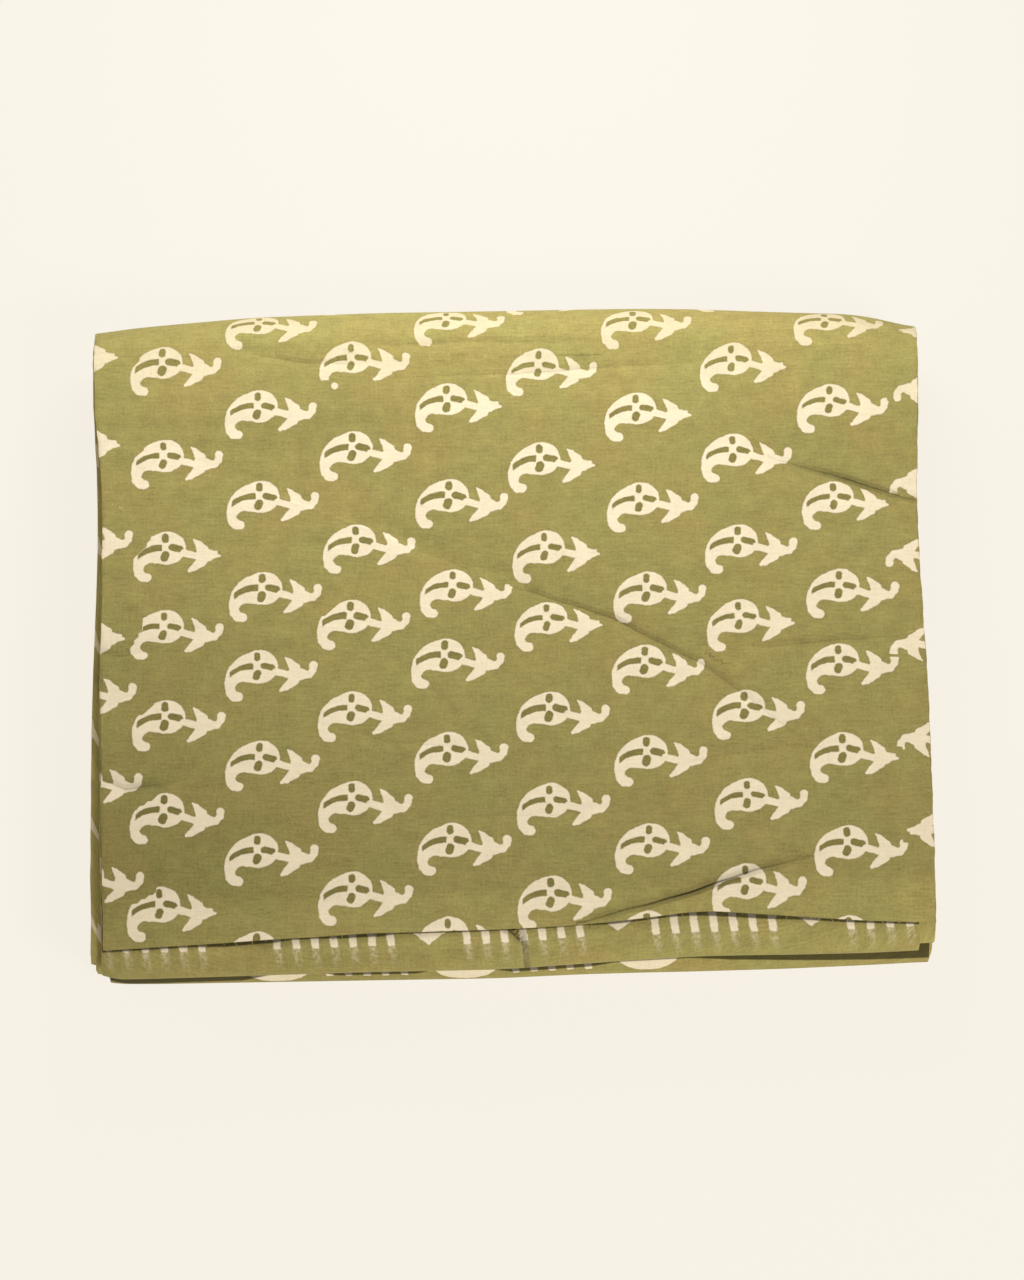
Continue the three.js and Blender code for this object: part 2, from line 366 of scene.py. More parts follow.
printed = place_face("printed")
plain = place_face("plain")
low = np.minimum(printed.min(axis=(0, 1)), plain.min(axis=(0, 1)))
high = np.maximum(printed.max(axis=(0, 1)), plain.max(axis=(0, 1)))
SHIFT = np.array([
    (CLOTH_LOW.x + CLOTH_HIGH.x) / 2 / MM - (low[0] + high[0]) / 2,
    (CLOTH_LOW.y + CLOTH_HIGH.y) / 2 / MM - (low[1] + high[1]) / 2,
    CLOTH_LOW.z / MM - low[2],
])
print("The section's own frame is moved by", SHIFT.round(2), "mm to lie in the packed box")

# %% [markdown]
# A printer sets the block down by eye, so no column of prints is quite true to the next one.
# The shader draws a perfectly regular repeat. The map from the cloth to that repeat holds the hand's errors:
# each print on the top has its own place, and each point of the cloth belongs to the print that is nearest.
# A second map has plain millimetres along and across the threads, for the weave.

# %% The map of the print
REAL_COLUMN_PITCH = 43.7
COLUMN_PITCH = 45.5
ROW_PITCH = 44.2
MOTIF_MIDDLE = (6.4, -4.9)
TURNED_FROM_COLUMN = 9
ROWS_OVER_THE_BACK = 2

# The middle of the eye of every print on the top, one list for each column, from the rear to the front
PRINTS = [
    [(-206, 132.5), (-204, 89), (-199, 41), (-199.5, -5), (-195.5, -32.5), (-192, -75), (-190, -121)],
    [(-161, 172), (-160.5, 126.5), (-159, 80.5), (-157, 35), (-157, -3), (-155.5, -46), (-155, -90.5),
     (-156, -133.5)],
    [(-117, 149.5), (-116.5, 105), (-115, 60.5), (-113, 15.5), (-114.5, -22), (-113, -65.5), (-113, -108.5),
     (-113, -153.3)],
    [(-74.5, 175), (-74, 129.5), (-73, 84.5), (-71, 39), (-73, 2), (-72, -42), (-71.5, -84.5), (-71, -126.5)],
    [(-30.5, 152), (-30, 109), (-29, 61), (-27, 17.5), (-30.5, -17), (-29, -61), (-27.5, -104),
     (-28.5, -146.5)],
    [(11.5, 171.5), (12, 126), (12.5, 79), (14.5, 36), (15.5, 2), (16.5, -42), (16.5, -85.5), (17, -128.5)],
    [(55.5, 150), (56.5, 104), (57.5, 59), (60.5, 15.5), (59.5, -19.5), (60, -62.5), (60.5, -104.5),
     (59.5, -144.5)],
    [(100, 173.5), (100.5, 128.5), (100.5, 83.5), (102, 38.5), (102, 2.5), (104, -40.5), (104.5, -83),
     (103, -124)],
    [(144, 151.5), (145, 108), (146, 60.5), (147.5, 17), (146.5, -18.5), (147.5, -61), (148.5, -105.5),
     (148.5, -146.5)],
    [(203.5, 142.5), (201.5, 109), (199, 64), (196, 27.5), (197, -15.5), (199, -61), (200.5, -103.5)],
]

# The two lines that a print lies along, from its tail to its eye and from its eye to its tip, and their reach
TAIL_LINE = ((-9.5, -11.0), (3.0, -0.5), 6.5)
FLOWER_LINE = ((8.0, -3.0), (25.0, -3.0), 6.0)
CELL_MARGIN = 0.3

print("Prints on the top:", sum(len(column) for column in PRINTS), "in", len(PRINTS), "columns")

# %% [markdown]
# For every point of the top, the nearest print is found from the two lines that a print lies along.
# The point then gets the place that it would have in the regular repeat, inside that print's own cell.

# %% The nearest print


def distance_to_print(x, y):
    """Roughly how far a point is from a print whose eye lies at the origin."""
    nearest = np.full_like(x, FAR_AWAY)
    for start, end, reach in (TAIL_LINE, FLOWER_LINE):
        away, _ = from_segment(x, y, start, end)
        nearest = np.minimum(nearest, away - reach)
    return nearest


def block_print_map(x, y):
    """The map of the top, from x and the distance y along the cloth, both in mm, to the regular repeat."""
    best = np.full_like(x, FAR_AWAY)
    u = np.zeros_like(x)
    v = np.zeros_like(x)
    for column, prints in enumerate(PRINTS):
        sign = -1 if column >= TURNED_FROM_COLUMN else 1
        first_x, first_y = prints[0]
        added = [(first_x, first_y + ROW_PITCH * step) for step in range(ROWS_OVER_THE_BACK, 0, -1)]
        for row, (eye_x, eye_y) in enumerate(added + prints):
            offset_x = x - eye_x
            offset_y = y - eye_y
            away = distance_to_print(sign * offset_x, sign * offset_y)
            here = away < best
            best = np.where(here, away, best)
            half_width = COLUMN_PITCH / 2 - CELL_MARGIN
            half_height = ROW_PITCH / 2 - CELL_MARGIN
            cell_x = np.clip(offset_x - sign * MOTIF_MIDDLE[0], -half_width, half_width)
            cell_y = np.clip(offset_y - sign * MOTIF_MIDDLE[1], -half_height, half_height)
            half_step = 0 if column % 2 else 0.5
            u = np.where(here, column * COLUMN_PITCH + MOTIF_MIDDLE[0] + cell_x, u)
            v = np.where(here, -(row + half_step) * ROW_PITCH + MOTIF_MIDDLE[1] + cell_y, v)
    return u, v


def regular_print_map(x, y):
    """The map of the parts that don't show from above."""
    return (x - PRINTS[0][0][0]) * COLUMN_PITCH / REAL_COLUMN_PITCH, y


steps = np.linalg.norm(np.diff(printed, axis=0), axis=-1)
path = np.concatenate([np.zeros((1, FINE_STATIONS)), np.cumsum(steps, axis=0)])
top_row = int(np.argmin(np.where(section["layer"] == 1, np.abs(section["printed_y"]), FAR_AWAY)))
along_cloth = path - path[top_row] + printed[top_row, :, 1]

# %% [markdown]
# The two bands at the front show the cloth's border: groups of seven bars, with a leaf tip between groups.
# A group is as long as two columns of the print. On the bands the map runs down from the top of the fold.

# %% The map of the border
GROUP_LENGTH = 2 * REAL_COLUMN_PITCH

# Where the groups of bars start along X, on the upper and on the lower band
UPPER_GROUPS = [-274.0, -187.0, -103.8, -19.9, 63.5, 149.8, 236.0]
LOWER_GROUPS = [-252.5, -168.0, -83.0, 0.0, 80.7, 165.7, 250.7]

# How far down the leaf tips reach at places along X
TIP_DEPTHS = [
    (-160, -2.0), (-123, -2.0), (-85, 2.1), (-38, 2.1), (30, 0.7), (48, 0.7), (100, 0.1), (136, 0.5),
]

# How much further down the band the print lies at places along X
UPPER_SLIPS = [(-190, 2.0), (-105, 1.5), (-25, 1.5), (-10, 1.9), (45, 1.9), (60, 0.7), (190, 0.7)]
LOWER_SLIPS = [(-190, 0.8), (35, 0.8), (50, 3.2), (190, 3.4)]


def band_map(x, down, starts, slips):
    """The map of one band, from x and the distance down from the top of its fold."""
    numbers = np.arange(len(starts)) * GROUP_LENGTH
    return np.interp(x, starts, numbers), down + np.interp(x, *np.array(slips).T)


tangent = {}
for zone, first_layer in ((UPPER_BAND, 2), (LOWER_BAND, 9)):
    tangent[zone] = int(np.argmax(section["layer"] == first_layer))

fine = section["fine"] > 0
zone_of_row = section["zone"].astype(int)
x_all = printed[..., 0]
u_field, v_field = regular_print_map(x_all, along_cloth)
u_print, v_print = block_print_map(x_all, along_cloth)
top = (fine & (zone_of_row == FIELD))[:, None]
print_u = np.where(top, u_print, u_field)
print_v = np.where(top, v_print, v_field)
for zone, starts, slips in (
    (UPPER_BAND, UPPER_GROUPS, UPPER_SLIPS),
    (LOWER_BAND, LOWER_GROUPS, LOWER_SLIPS),
):
    u_band, v_band = band_map(x_all, path[tangent[zone]] - path, starts, slips)
    in_zone = (zone_of_row == zone)[:, None]
    print_u = np.where(in_zone, u_band, print_u)
    print_v = np.where(in_zone, v_band, print_v)
rows_of_bands = [int((zone_of_row == zone).sum()) for zone in (UPPER_BAND, LOWER_BAND)]
print("Rows of the upper and the lower band:", rows_of_bands)

# %% [markdown]
# A thin dark line of painted shade runs where one layer lies over the next, for the shadow in the gap between
# them.
# It is thinner than the mesh. So each point keeps how far it lies below that line, as seen from the camera,
# and the shader darkens what isn't below it. The line's width is given at places along X.

# %% The map of the painted shade lines between layers
CAMERA_ELEVATION = math.radians(70)
NO_SHADE_LINE = 50.0
# Place along X and width in mm of the painted shade line, under the flap's edge and then under the upper
# bundle
FLAP_SHADE_LINE = [
    (-190, 0.8), (-140, 0.9), (-125, 1.7), (-103, 1.7), (-95, 0.8), (-84, 0.9), (-72, 1.7), (-55, 1.6),
    (-48, 0.7), (35, 0.7), (48, 1.5), (85, 1.9), (120, 1.5), (135, 0.8), (190, 0.8),
]
BUNDLE_SHADE_LINE = [
    (-190, 3.2), (-122, 2.8), (-110, 0.5), (-88, 0.5), (-80, 1.8), (-46, 1.8), (-40, 0.5), (-12, 0.5),
    (-4, 2.0), (30, 2.0), (42, 0.7), (74, 0.8), (92, 2.4), (130, 3.4), (190, 4.2),
]


def seen_height(places):
    """How high places lie in the camera's view, in mm."""
    return places[..., 1] * math.sin(CAMERA_ELEVATION) + places[..., 2] * math.cos(CAMERA_ELEVATION)


past_shade_line = np.full((ROWS, FINE_STATIONS), NO_SHADE_LINE)
below_flap = np.zeros((ROWS, FINE_STATIONS))
flap_rows = (section["layer"] == 1) & (zone_of_row == FIELD)
upper_rows = zone_of_row == UPPER_BAND
lower_rows = zone_of_row == LOWER_BAND
for covering, covered, table in ((flap_rows, upper_rows, FLAP_SHADE_LINE), (upper_rows, lower_rows, BUNDLE_SHADE_LINE)):
    edge = np.minimum(*(seen_height(face[covering]).min(axis=0) for face in (printed, plain)))
    width = np.interp(printed[covering][0, :, 0], *np.array(table).T)
    below_flap[covered] = edge - seen_height(printed[covered])
    past_shade_line[covered] = below_flap[covered] - width
print("Dark lines on", int((past_shade_line.min(axis=1) < 1).sum()), "rows")

# %% [markdown]
# The tone is a factor on the dye's colour, from soft patches given one by one, and every point keeps its own.
# The first two patches darken the front and its left end, and the bands darken to their left: painted shade,
# where less light falls. The paler strip by the flap's edge is painted light. The other patches darken
# smaller places.

# %% The map of the tone
# A paler strip near the flap's edge, painted light: both ends of its rear side, its depth and its tone
PAINTED_LIGHT_STRIP = {"rear": ((-190, -130), (190, -117)), "depth": 9, "tone": 1.17}

# The middle in x and along the cloth, the half width, the half length and the tone of each patch
TONE_PATCHES = [
    (-185, -120, 90, 75, 0.80),
    (0, -115, 300, 70, 0.91),
    (-175, -20, 70, 30, 0.92),
    (-10, 0, 30, 22, 0.93),
    (40, -20, 26, 22, 0.95),
    (-20, -60, 60, 20, 0.96),
    (-60, 110, 40, 14, 0.95),
    (-95, 98, 45, 12, 0.94),
    (60, -165, 400, 12, 0.95),
]

# The tone at places along X on the two bands, darker to the left as painted shade
BAND_TONE = [(-190, 0.84), (-60, 0.90), (20, 0.97), (190, 0.95)]
in_field_zone = (zone_of_row == FIELD)[:, None]
tone = np.ones((ROWS, FINE_STATIONS))
for x, y, half_width, half_length, strength in TONE_PATCHES:
    near = np.exp(-((x_all - x) / half_width) ** 2 - ((along_cloth - y) / half_length) ** 2)
    tone *= 1 + (strength - 1) * near
(x0, y0), (x1, y1) = PAINTED_LIGHT_STRIP["rear"]
rear_line = y0 + (x_all - x0) * (y1 - y0) / (x1 - x0)
in_strip = smooth_ramp(along_cloth, rear_line, rear_line - PAINTED_LIGHT_STRIP["depth"])
band_tone = np.interp(x_all, *np.array(BAND_TONE).T)
tone *= np.where(in_field_zone, 1 + (PAINTED_LIGHT_STRIP["tone"] - 1) * in_strip, band_tone)
print("Tone from", round(tone.min(), 2), "to", round(tone.max(), 2))

# %% [markdown]
# The sharpest part of a crease is thinner than the mesh. So each point keeps its distance to the nearest
# sharp line, with a sign for the side, and how deep that line is. The shader draws the line from these,
# as painted shade and a groove in the bump.

# %% The map of sharp creases
NO_CREASE = 50.0
CREASE_REACH = 7.0

# The waver of a real crease: how far, over what length, and where it starts
CREASE_WAVES = [(0.35, 9.3, 0.0), (0.15, 3.1, 1.3)]
PUCKER_WAVER = 0.3

# The line in x and in the distance along the cloth, and its depth at the start, in the middle and at the end
SHARP_CREASES = [
    ([(-140, 75), (-96, 57), (-44, 36)], (0.0, -0.35, -0.3)),
    ([(-44, 36), (4, 17), (44, 2), (84, -19), (129, -55)], (0.1, 1.3, 0.2)),
    ([(120, 80), (137, 75), (155.5, 69), (164, 65.6), (188, 58.5)], (0.3, 2.6, 1.0)),
    ([(94, -13.5), (116, -12), (138, -9.5), (184, -7)], (0.0, 0.8, 0.1)),
    ([(35, -140.6), (47, -137.4), (83, -127.2), (127, -113.8)], (1.2, 3.4, 0.7)),
    ([(-123, 132), (-93, 127), (-70, 126)], (0.1, 1.0, 0.1)),
    ([(-60, 120), (-1, 122), (40, 124.5), (86, 128)], (0.2, 0.7, 0.2)),
    ([(-70, 135), (-20, 138), (40, 138)], (0.1, 0.4, 0.1)),
    ([(-54, -93), (-15, -93.5), (21, -92)], (0.1, 0.35, 0.1)),
    ([(-187, -15), (-176, -17), (-160, -13)], (0.7, 0.5, 0.0)),
    ([(-184, -75), (-172, -80), (-150, -76)], (0.4, 1.2, 0.1)),
    ([(-85, -50), (-55, -58), (-20, -60)], (0.1, 0.4, 0.1)),
    ([(60, -70), (110, -62), (130, -66)], (0.0, 0.3, 0.0)),
]

# A pucker in the upper band, in x and in the distance below the flap's edge as seen from the camera
BAND_PUCKER = [
    ([(-3.2, 1.0), (0.6, -2.4), (4.6, -6.6), (5.2, -9.5)], (2.4, 2.6, 1.6)),
    ([(2.2, 0.5), (4.4, -3.4), (4.6, -6.6)], (1.2, 1.8, 2.0)),
    ([(5.2, -9.5), (5.4, -14.0), (6.2, -19.0)], (1.4, 1.0, 1.2)),
]
sharp_away = np.full((ROWS, FINE_STATIONS), NO_CREASE)
sharp_depth = np.zeros((ROWS, FINE_STATIONS))


def mark_lines(lines, x, y, on_rows):
    """Each point keeps the nearest of the lines so far, where its row may carry one."""
    for line, depths in lines:
        away, place = distance_to_line(x, y, line)
        depth = np.interp(place, (0, 0.5, 1), depths)
        nearer = on_rows & (np.abs(away) < np.abs(sharp_away))
        sharp_away[nearer] = away[nearer]
        sharp_depth[nearer] = depth[nearer]


waver = sum(reach * np.sin(x_all / length + start) for reach, length, start in CREASE_WAVES)
mark_lines(SHARP_CREASES, x_all, along_cloth + waver, True)
mark_lines(BAND_PUCKER, x_all + PUCKER_WAVER * waver, -below_flap, upper_rows[:, None])
sharp_depth[np.abs(sharp_away) > CREASE_REACH] = 0
print("Sharp lines:", len(SHARP_CREASES), "on the top and", len(BAND_PUCKER), "on the upper band")

# %% [markdown]
# The skin of the cloth has a printed face, a plain face, two cut ends and two selvedge ends.
# Its points come first, each with its place on both maps and with the values that the shader will read.

# %% The points of both faces
points = []
point_maps = {"print": [], "weave": []}
VALUE_NAMES = ("band", "reverse", "tip", "crease", "crease_depth", "past_shade_line", "tone")
point_values = {name: [] for name in VALUE_NAMES}
NO_MARKS = {"crease": NO_CREASE, "crease_depth": 0, "past_shade_line": NO_SHADE_LINE, "tone": 1}


def add_points(positions, prints, weaves, band, reverse, marks=NO_MARKS):
    """Adds points with their maps and values, and returns their numbers."""
    start = sum(len(p) for p in points)
    count = len(positions)
    points.append(positions)
    point_maps["print"].append(prints)
    point_maps["weave"].append(weaves)
    tip = np.interp(positions[:, 0], *np.array(TIP_DEPTHS).T)
    for name, value in {"band": band, "reverse": reverse, "tip": tip, **marks}.items():
        point_values[name].append(np.broadcast_to(float(value) if np.isscalar(value) else value, count))
    return np.arange(start, start + count)


def add_face_row(face, row, is_fine, reverse):
    pick = slice(None) if is_fine else slice(None, None, COARSE_EVERY)
    prints = np.stack([print_u[row, pick], print_v[row, pick]], axis=-1)
    weaves = np.stack([x_all[row, pick], along_cloth[row, pick]], axis=-1)
    marks = NO_MARKS
    if is_fine:
        marks = {"crease": sharp_away[row], "crease_depth": sharp_depth[row],
                 "past_shade_line": past_shade_line[row], "tone": tone[row]}
    return add_points(face[row, pick], prints, weaves, zone_of_row[row], reverse, marks)


printed_rows = [add_face_row(printed, row, fine[row], 0) for row in range(ROWS)]
plain_rows = [add_face_row(plain, row, row == 0, 1) for row in range(ROWS)]
print("Points on both faces:", sum(len(p) for p in points))

# %% [markdown]
# Each modelled layer stands for about four real plies, so the selvedge ends get four rounded lips with
# grooves between them. The plies slip past each other by parts of a millimetre, as in any folded stack.

# %% The points of the selvedge ends
PLIES = 4
PLY_GROOVE = 0.5
PLY_CORNER = 0.25
PLY_SLIP = 0.42
PLY_WAVES = (61.0, 23.0, 9.7)

# How much a selvedge end looks like the cloth's reverse, where 1 is the reverse itself
SELVEDGE_REVERSE = 0.8


def slip_of_plies(distance):
    """How far each ply stands out at distances along the cloth, as rows by plies."""
    total = np.zeros((len(distance), PLIES))
    for length in PLY_WAVES:
        phase = random_numbers.uniform(0, 2 * math.pi, PLIES)
        total += np.sin(distance[:, None] * 2 * math.pi / length + phase) * math.sqrt(length / PLY_WAVES[0])
    return PLY_SLIP * total / 2


def add_selvedge(station, outwards):
    """The points of one selvedge end, from the printed face over the plies to the plain face."""
    slip = slip_of_plies(path[:, station])
    ends = []
    for row in range(ROWS):
        start, end = printed[row, station], plain[row, station]
        share = np.arange(1, 2 * PLIES)[:, None] / (2 * PLIES)
        positions = start * (1 - share) + end * share
        lip = np.array([slip[row, k // 2] if k % 2 == 0 else -PLY_GROOVE for k in range(2 * PLIES - 1)])
        positions[:, 0] += outwards * (lip + PLY_CORNER)
        prints = np.repeat([[print_u[row, station], print_v[row, station]]], len(positions), axis=0)
        weaves = np.repeat([[x_all[row, station], along_cloth[row, station]]], len(positions), axis=0)
        weaves[:, 0] += share[:, 0] * SHEET
        ends.append(add_points(positions, prints, weaves, zone_of_row[row], SELVEDGE_REVERSE))
    return ends


left_ends = add_selvedge(0, -1)
right_ends = add_selvedge(FINE_STATIONS - 1, 1)
print("Points with the selvedge ends:", sum(len(p) for p in points))

# %% [markdown]
# Faces now join each row to the next one, all the way round the section, and close both selvedge ends.
# Where a close row meets a wide one, a fan of triangles joins them, so that no hole is left.

# %% Joining the skin
faces = []


def join_rows(a, b):
    """Joins two rows of points across the width. Either may have more points than the other."""
    if len(a) == len(b):
        faces.extend(zip(a[:-1], a[1:], b[1:], b[:-1]))
        return
    half = COARSE_EVERY // 2
    for k in range((FINE_STATIONS - 1) // COARSE_EVERY):
        for step in range(COARSE_EVERY):
            near = k if step < half else k + 1
            i = k * COARSE_EVERY + step
            if len(a) > len(b):
                faces.append((a[i], a[i + 1], b[near]))
            else:
                faces.append((a[near], b[i + 1], b[i]))
        middle = k * COARSE_EVERY + half
        if len(a) > len(b):
            faces.append((a[middle], b[k + 1], b[k]))
        else:
            faces.append((a[k], a[k + 1], b[middle]))


ring = printed_rows + plain_rows[::-1]
for here, following in zip(ring, ring[1:] + ring[:1]):
    join_rows(here, following)
both_ends = ((0, left_ends), (-1, right_ends))
for row in range(ROWS - 1):
    for end, ends in both_ends:
        here = [printed_rows[row][end], *ends[row], plain_rows[row][end]]
        following = [printed_rows[row + 1][end], *ends[row + 1], plain_rows[row + 1][end]]
        if end == 0:
            faces.extend(zip(here[:-1], following[:-1], following[1:], here[1:]))
        else:
            faces.extend(zip(here[:-1], here[1:], following[1:], following[:-1]))
for row, flip in ((0, False), (ROWS - 1, True)):
    for end, ends in both_ends:
        rim = [printed_rows[row][end], *ends[row], plain_rows[row][end]]
        faces.append(tuple(rim if (end == 0) != flip else rim[::-1]))

positions = (np.concatenate(points) + SHIFT) * MM
mesh = bpy.data.meshes.new("printed_cloth")
mesh.from_pydata(positions.tolist(), [], [tuple(int(i) for i in face) for face in faces])
triangles = sum(len(face) - 2 for face in faces)
print("The cloth has", len(positions), "points and", triangles, "triangles")

# %% [markdown]
# The mesh now gets its two maps and the values that its points kept.
# Its shading is smooth over the folds and sharp at the cut edges.

# %% The cloth's maps and shading
SHARP_ANGLE = math.radians(55)
corner_points = np.zeros(len(mesh.loops), int)
mesh.loops.foreach_get("vertex_index", corner_points)
for name, values in point_maps.items():
    layer = mesh.uv_layers.new(name=name)
    layer.data.foreach_set("uv", (np.concatenate(values)[corner_points] * MM).ravel())
for name, values in point_values.items():
    attribute = mesh.attributes.new(name, "FLOAT", "POINT")
    attribute.data.foreach_set("value", np.concatenate(values))
mesh.shade_smooth()
mesh.set_sharp_from_angle(angle=SHARP_ANGLE)
mesh.validate()


def add_object(name, data):
    """A new object in the scene, at the origin."""
    new_object = bpy.data.objects.new(name, data)
    bpy.context.scene.collection.objects.link(new_object)
    return new_object


cloth = add_object("printed_cloth", mesh)
print("Maps:", [layer.name for layer in mesh.uv_layers], "and values:", list(point_values))

# %% [markdown]
# The finish is a shader. Its print is drawn by distance: each leaf, slot and bar is a simple shape whose
# distance to any point is known, and the nearest one wins. That keeps edges crisp at any size.
# An image would do the same, but this cloth then couldn't be recoloured or scaled without blur.

# %% Helpers for the shader
def linear_colour(hex_code):
    """An sRGB hex colour as the linear colour that Blender works in."""
    parts = [int(hex_code[i:i + 2], 16) / 255 for i in (1, 3, 5)]
    return (*[p / 12.92 if p <= 0.04045 else ((p + 0.055) / 1.055) ** 2.4 for p in parts], 1)


def add_node(tree, kind, values=(), **settings):
    """Adds a node. Values go to its inputs in order or by name: a node, a socket or a plain value."""
    node = tree.nodes.new(kind)
    for name, setting in settings.items():
        setattr(node, name, setting)
    pairs = values.items() if isinstance(values, dict) else enumerate(values)
    for key, value in pairs:
        if isinstance(value, bpy.types.Node):
            value = value.outputs[0]
        if isinstance(value, bpy.types.NodeSocket):
            tree.links.new(value, node.inputs[key])
        elif value is not None:
            node.inputs[key].default_value = value
    return node


def new_group(name, inputs, outputs, kind="ShaderNodeTree"):
    """An empty node group with its input and output nodes."""
    tree = bpy.data.node_groups.new(name, kind)
    for label, socket_kind in inputs.items():
        tree.interface.new_socket(label, in_out="INPUT", socket_type=socket_kind)
    for label, socket_kind in outputs.items():
        tree.interface.new_socket(label, in_out="OUTPUT", socket_type=socket_kind)
    return tree, tree.nodes.new("NodeGroupInput"), tree.nodes.new("NodeGroupOutput")


MATH, VECTOR = "ShaderNodeMath", "ShaderNodeVectorMath"
FLOAT_SOCKET, VECTOR_SOCKET = "NodeSocketFloat", "NodeSocketVector"
print("Middle grey in linear light:", round(linear_colour("#808080")[0], 3))

# %% [markdown]
# Most of the motif is made of strokes, as from a brush. A node group works out the distance from a point
# to a line whose half width changes evenly from its start to its end. Inside the stroke it is below zero.

# %% A tapered stroke


def make_stroke_group():
    inputs = {"Point": VECTOR_SOCKET, "Start": VECTOR_SOCKET, "End": VECTOR_SOCKET}
    inputs.update({"Start width": FLOAT_SOCKET, "End width": FLOAT_SOCKET})
    tree, given, result = new_group("Tapered stroke", inputs, {"Distance": FLOAT_SOCKET})
    source = given.outputs
    from_start = add_node(tree, VECTOR, [source["Point"], source["Start"]], operation="SUBTRACT")
    line = add_node(tree, VECTOR, [source["End"], source["Start"]], operation="SUBTRACT")
    dot = add_node(tree, VECTOR, [from_start, line], operation="DOT_PRODUCT").outputs["Value"]
    square = add_node(tree, VECTOR, [line, line], operation="DOT_PRODUCT").outputs["Value"]
    share = add_node(tree, MATH, [dot, square], operation="DIVIDE", use_clamp=True)
    foot = add_node(tree, VECTOR, {0: line, "Scale": share}, operation="SCALE")
    away = add_node(tree, VECTOR, [from_start, foot], operation="SUBTRACT")
    length = add_node(tree, VECTOR, [away], operation="LENGTH").outputs["Value"]
    width = add_node(tree, "ShaderNodeMapRange", [share, 0, 1, source["Start width"], source["End width"]])
    distance = add_node(tree, MATH, [length, width], operation="SUBTRACT")
    tree.links.new(distance.outputs[0], result.inputs[0])
    return tree


STROKE = make_stroke_group()
print("The stroke group has", len(STROKE.nodes), "nodes")

# %% [markdown]
# One motif is a paisley leaf with a four part eye, a stem and a small flower with two leaves and a tip.
# It is built from ellipses, circles and tapered strokes in real millimetres, round the middle of its eye.
# Some have a curled tip and some a plain one, and on a few the tail is cut off and ends in a dot.
# Softened joins between the shapes look like a carved block, where no inner corner is quite sharp.

# %% The paisley
BODY = {"middle": (1.0, -0.2), "radii": (8.4, 8.0)}
BACK_CURVE = {"middle": (0.45, -8.0), "radii": (15.0, 15.0)}
HOOK = {"middle": (-6.2, -11.2), "radii": (3.9, 3.9)}
BELLY = -7.6
TAIL_END = -13.6
TAIL_FROM = -0.5
CUT_TAIL_END = -11.8
TAIL_DOT = {"middle": (-7.6, -14.6), "radii": (1.7, 1.7)}

# The long slot is a part of a ring, from its left end to its inner end. It widens up to x = widest.
LEFT_SLOT = {"middle": (-2.3, -14.6), "radius": 14.6, "left": -12.0, "inner_end": -1.9, "widest": -3.0}
LEFT_SLOT_WIDTHS = (0.75, 1.15)

# Strokes: both ends and both half widths
SHORT_SLOTS = [
    ((3.2, 0.1), (6.7, -0.7), 1.25, 1.2),
    ((0.1, 3.9), (0.1, 5.3), 1.15, 1.15),
    ((0.2, -3.4), (-0.3, -5.0), 1.4, 1.4),
]
TAIL_STROKES = [
    ((-11.6, -12.4), (-10.2, -14.0), 2.3, 2.2),
    ((-10.2, -14.0), (-8.4, -14.3), 2.2, 2.15),
]
FLOWER_STROKES = [
    ((8.6, -2.7), (14.0, -4.3), 1.75, 1.6),
    ((17.2, -3.9), (19.2, -4.2), 3.3, 2.9),
    ((16.8, -1.0), (14.5, 2.2), 2.6, 1.2),
    ((14.5, 2.2), (12.9, 3.8), 1.1, 0.4),
    ((16.4, -7.0), (12.7, -10.3), 2.6, 1.5),
    ((12.7, -10.3), (10.8, -11.6), 1.4, 0.8),
]
CURLED_TIP = [
    ((20.0, -4.4), (23.3, -4.5), 2.5, 1.7),
    ((23.3, -4.5), (25.2, -2.4), 1.6, 1.5),
    ((25.2, -2.4), (25.4, 0.1), 1.5, 1.9),
]
PLAIN_TIP = [
    ((20.0, -4.2), (24.6, -4.4), 2.3, 0.6),
    ((21.4, -3.2), (23.1, -2.7), 1.3, 0.7),
]

# How softly shapes meet, in mm
SOFT_JOIN = 0.9
STEM_JOIN = 0.4
CRISP_JOIN = 0.05
ROUND_TAIL = 1.5
ROUND_SLOT_LEFT = 1.2
ROUND_SLOT_RIGHT = 0.8
SLOT_INSET = 0.5
print("Strokes in the flower:", len(FLOWER_STROKES), "and in its tip:", len(CURLED_TIP), "or", len(PLAIN_TIP))

# %% [markdown]
# Four small functions combine distances. The smaller of two distances joins two shapes, and the larger of
# one and the other's opposite cuts the second shape out of the first.

# %% Helpers for shapes


def make_ellipse(tree, point, shape):
    """The distance to an ellipse, near enough for one that is almost round."""
    radii = shape["radii"]
    offset = add_node(tree, VECTOR, [point, (*shape["middle"], 0)], operation="SUBTRACT")
    scaled = add_node(tree, VECTOR, [offset, (*radii, 1)], operation="DIVIDE")
    length = add_node(tree, VECTOR, [scaled], operation="LENGTH").outputs["Value"]
    return add_node(tree, MATH, [length, min(radii), -min(radii)], operation="MULTIPLY_ADD")


def join_shapes(tree, shapes, softness=SOFT_JOIN):
    joined = shapes[0]
    for shape in shapes[1:]:
        joined = add_node(tree, MATH, [joined, shape, softness], operation="SMOOTH_MIN")
    return joined


def make_strokes(tree, point, table, softness=SOFT_JOIN):
    strokes = []
    for start, end, start_width, end_width in table:
        values = [point, (*start, 0), (*end, 0), start_width, end_width]
        strokes.append(add_node(tree, "ShaderNodeGroup", values, node_tree=STROKE))
    return join_shapes(tree, strokes, softness)


def cut_away(tree, shape, cutter):
    opposite = add_node(tree, MATH, [cutter, -1], operation="MULTIPLY")
    return add_node(tree, MATH, [shape, opposite], operation="MAXIMUM")


print("Node groups so far:", len(bpy.data.node_groups))

# %% [markdown]
# The leaf is a round body and a tail. The tail is the part of a large circle that a hook shaped hollow
# leaves over. The slots are cut out of the leaf, and the stem and the flower are joined to it.

# %% The paisley group


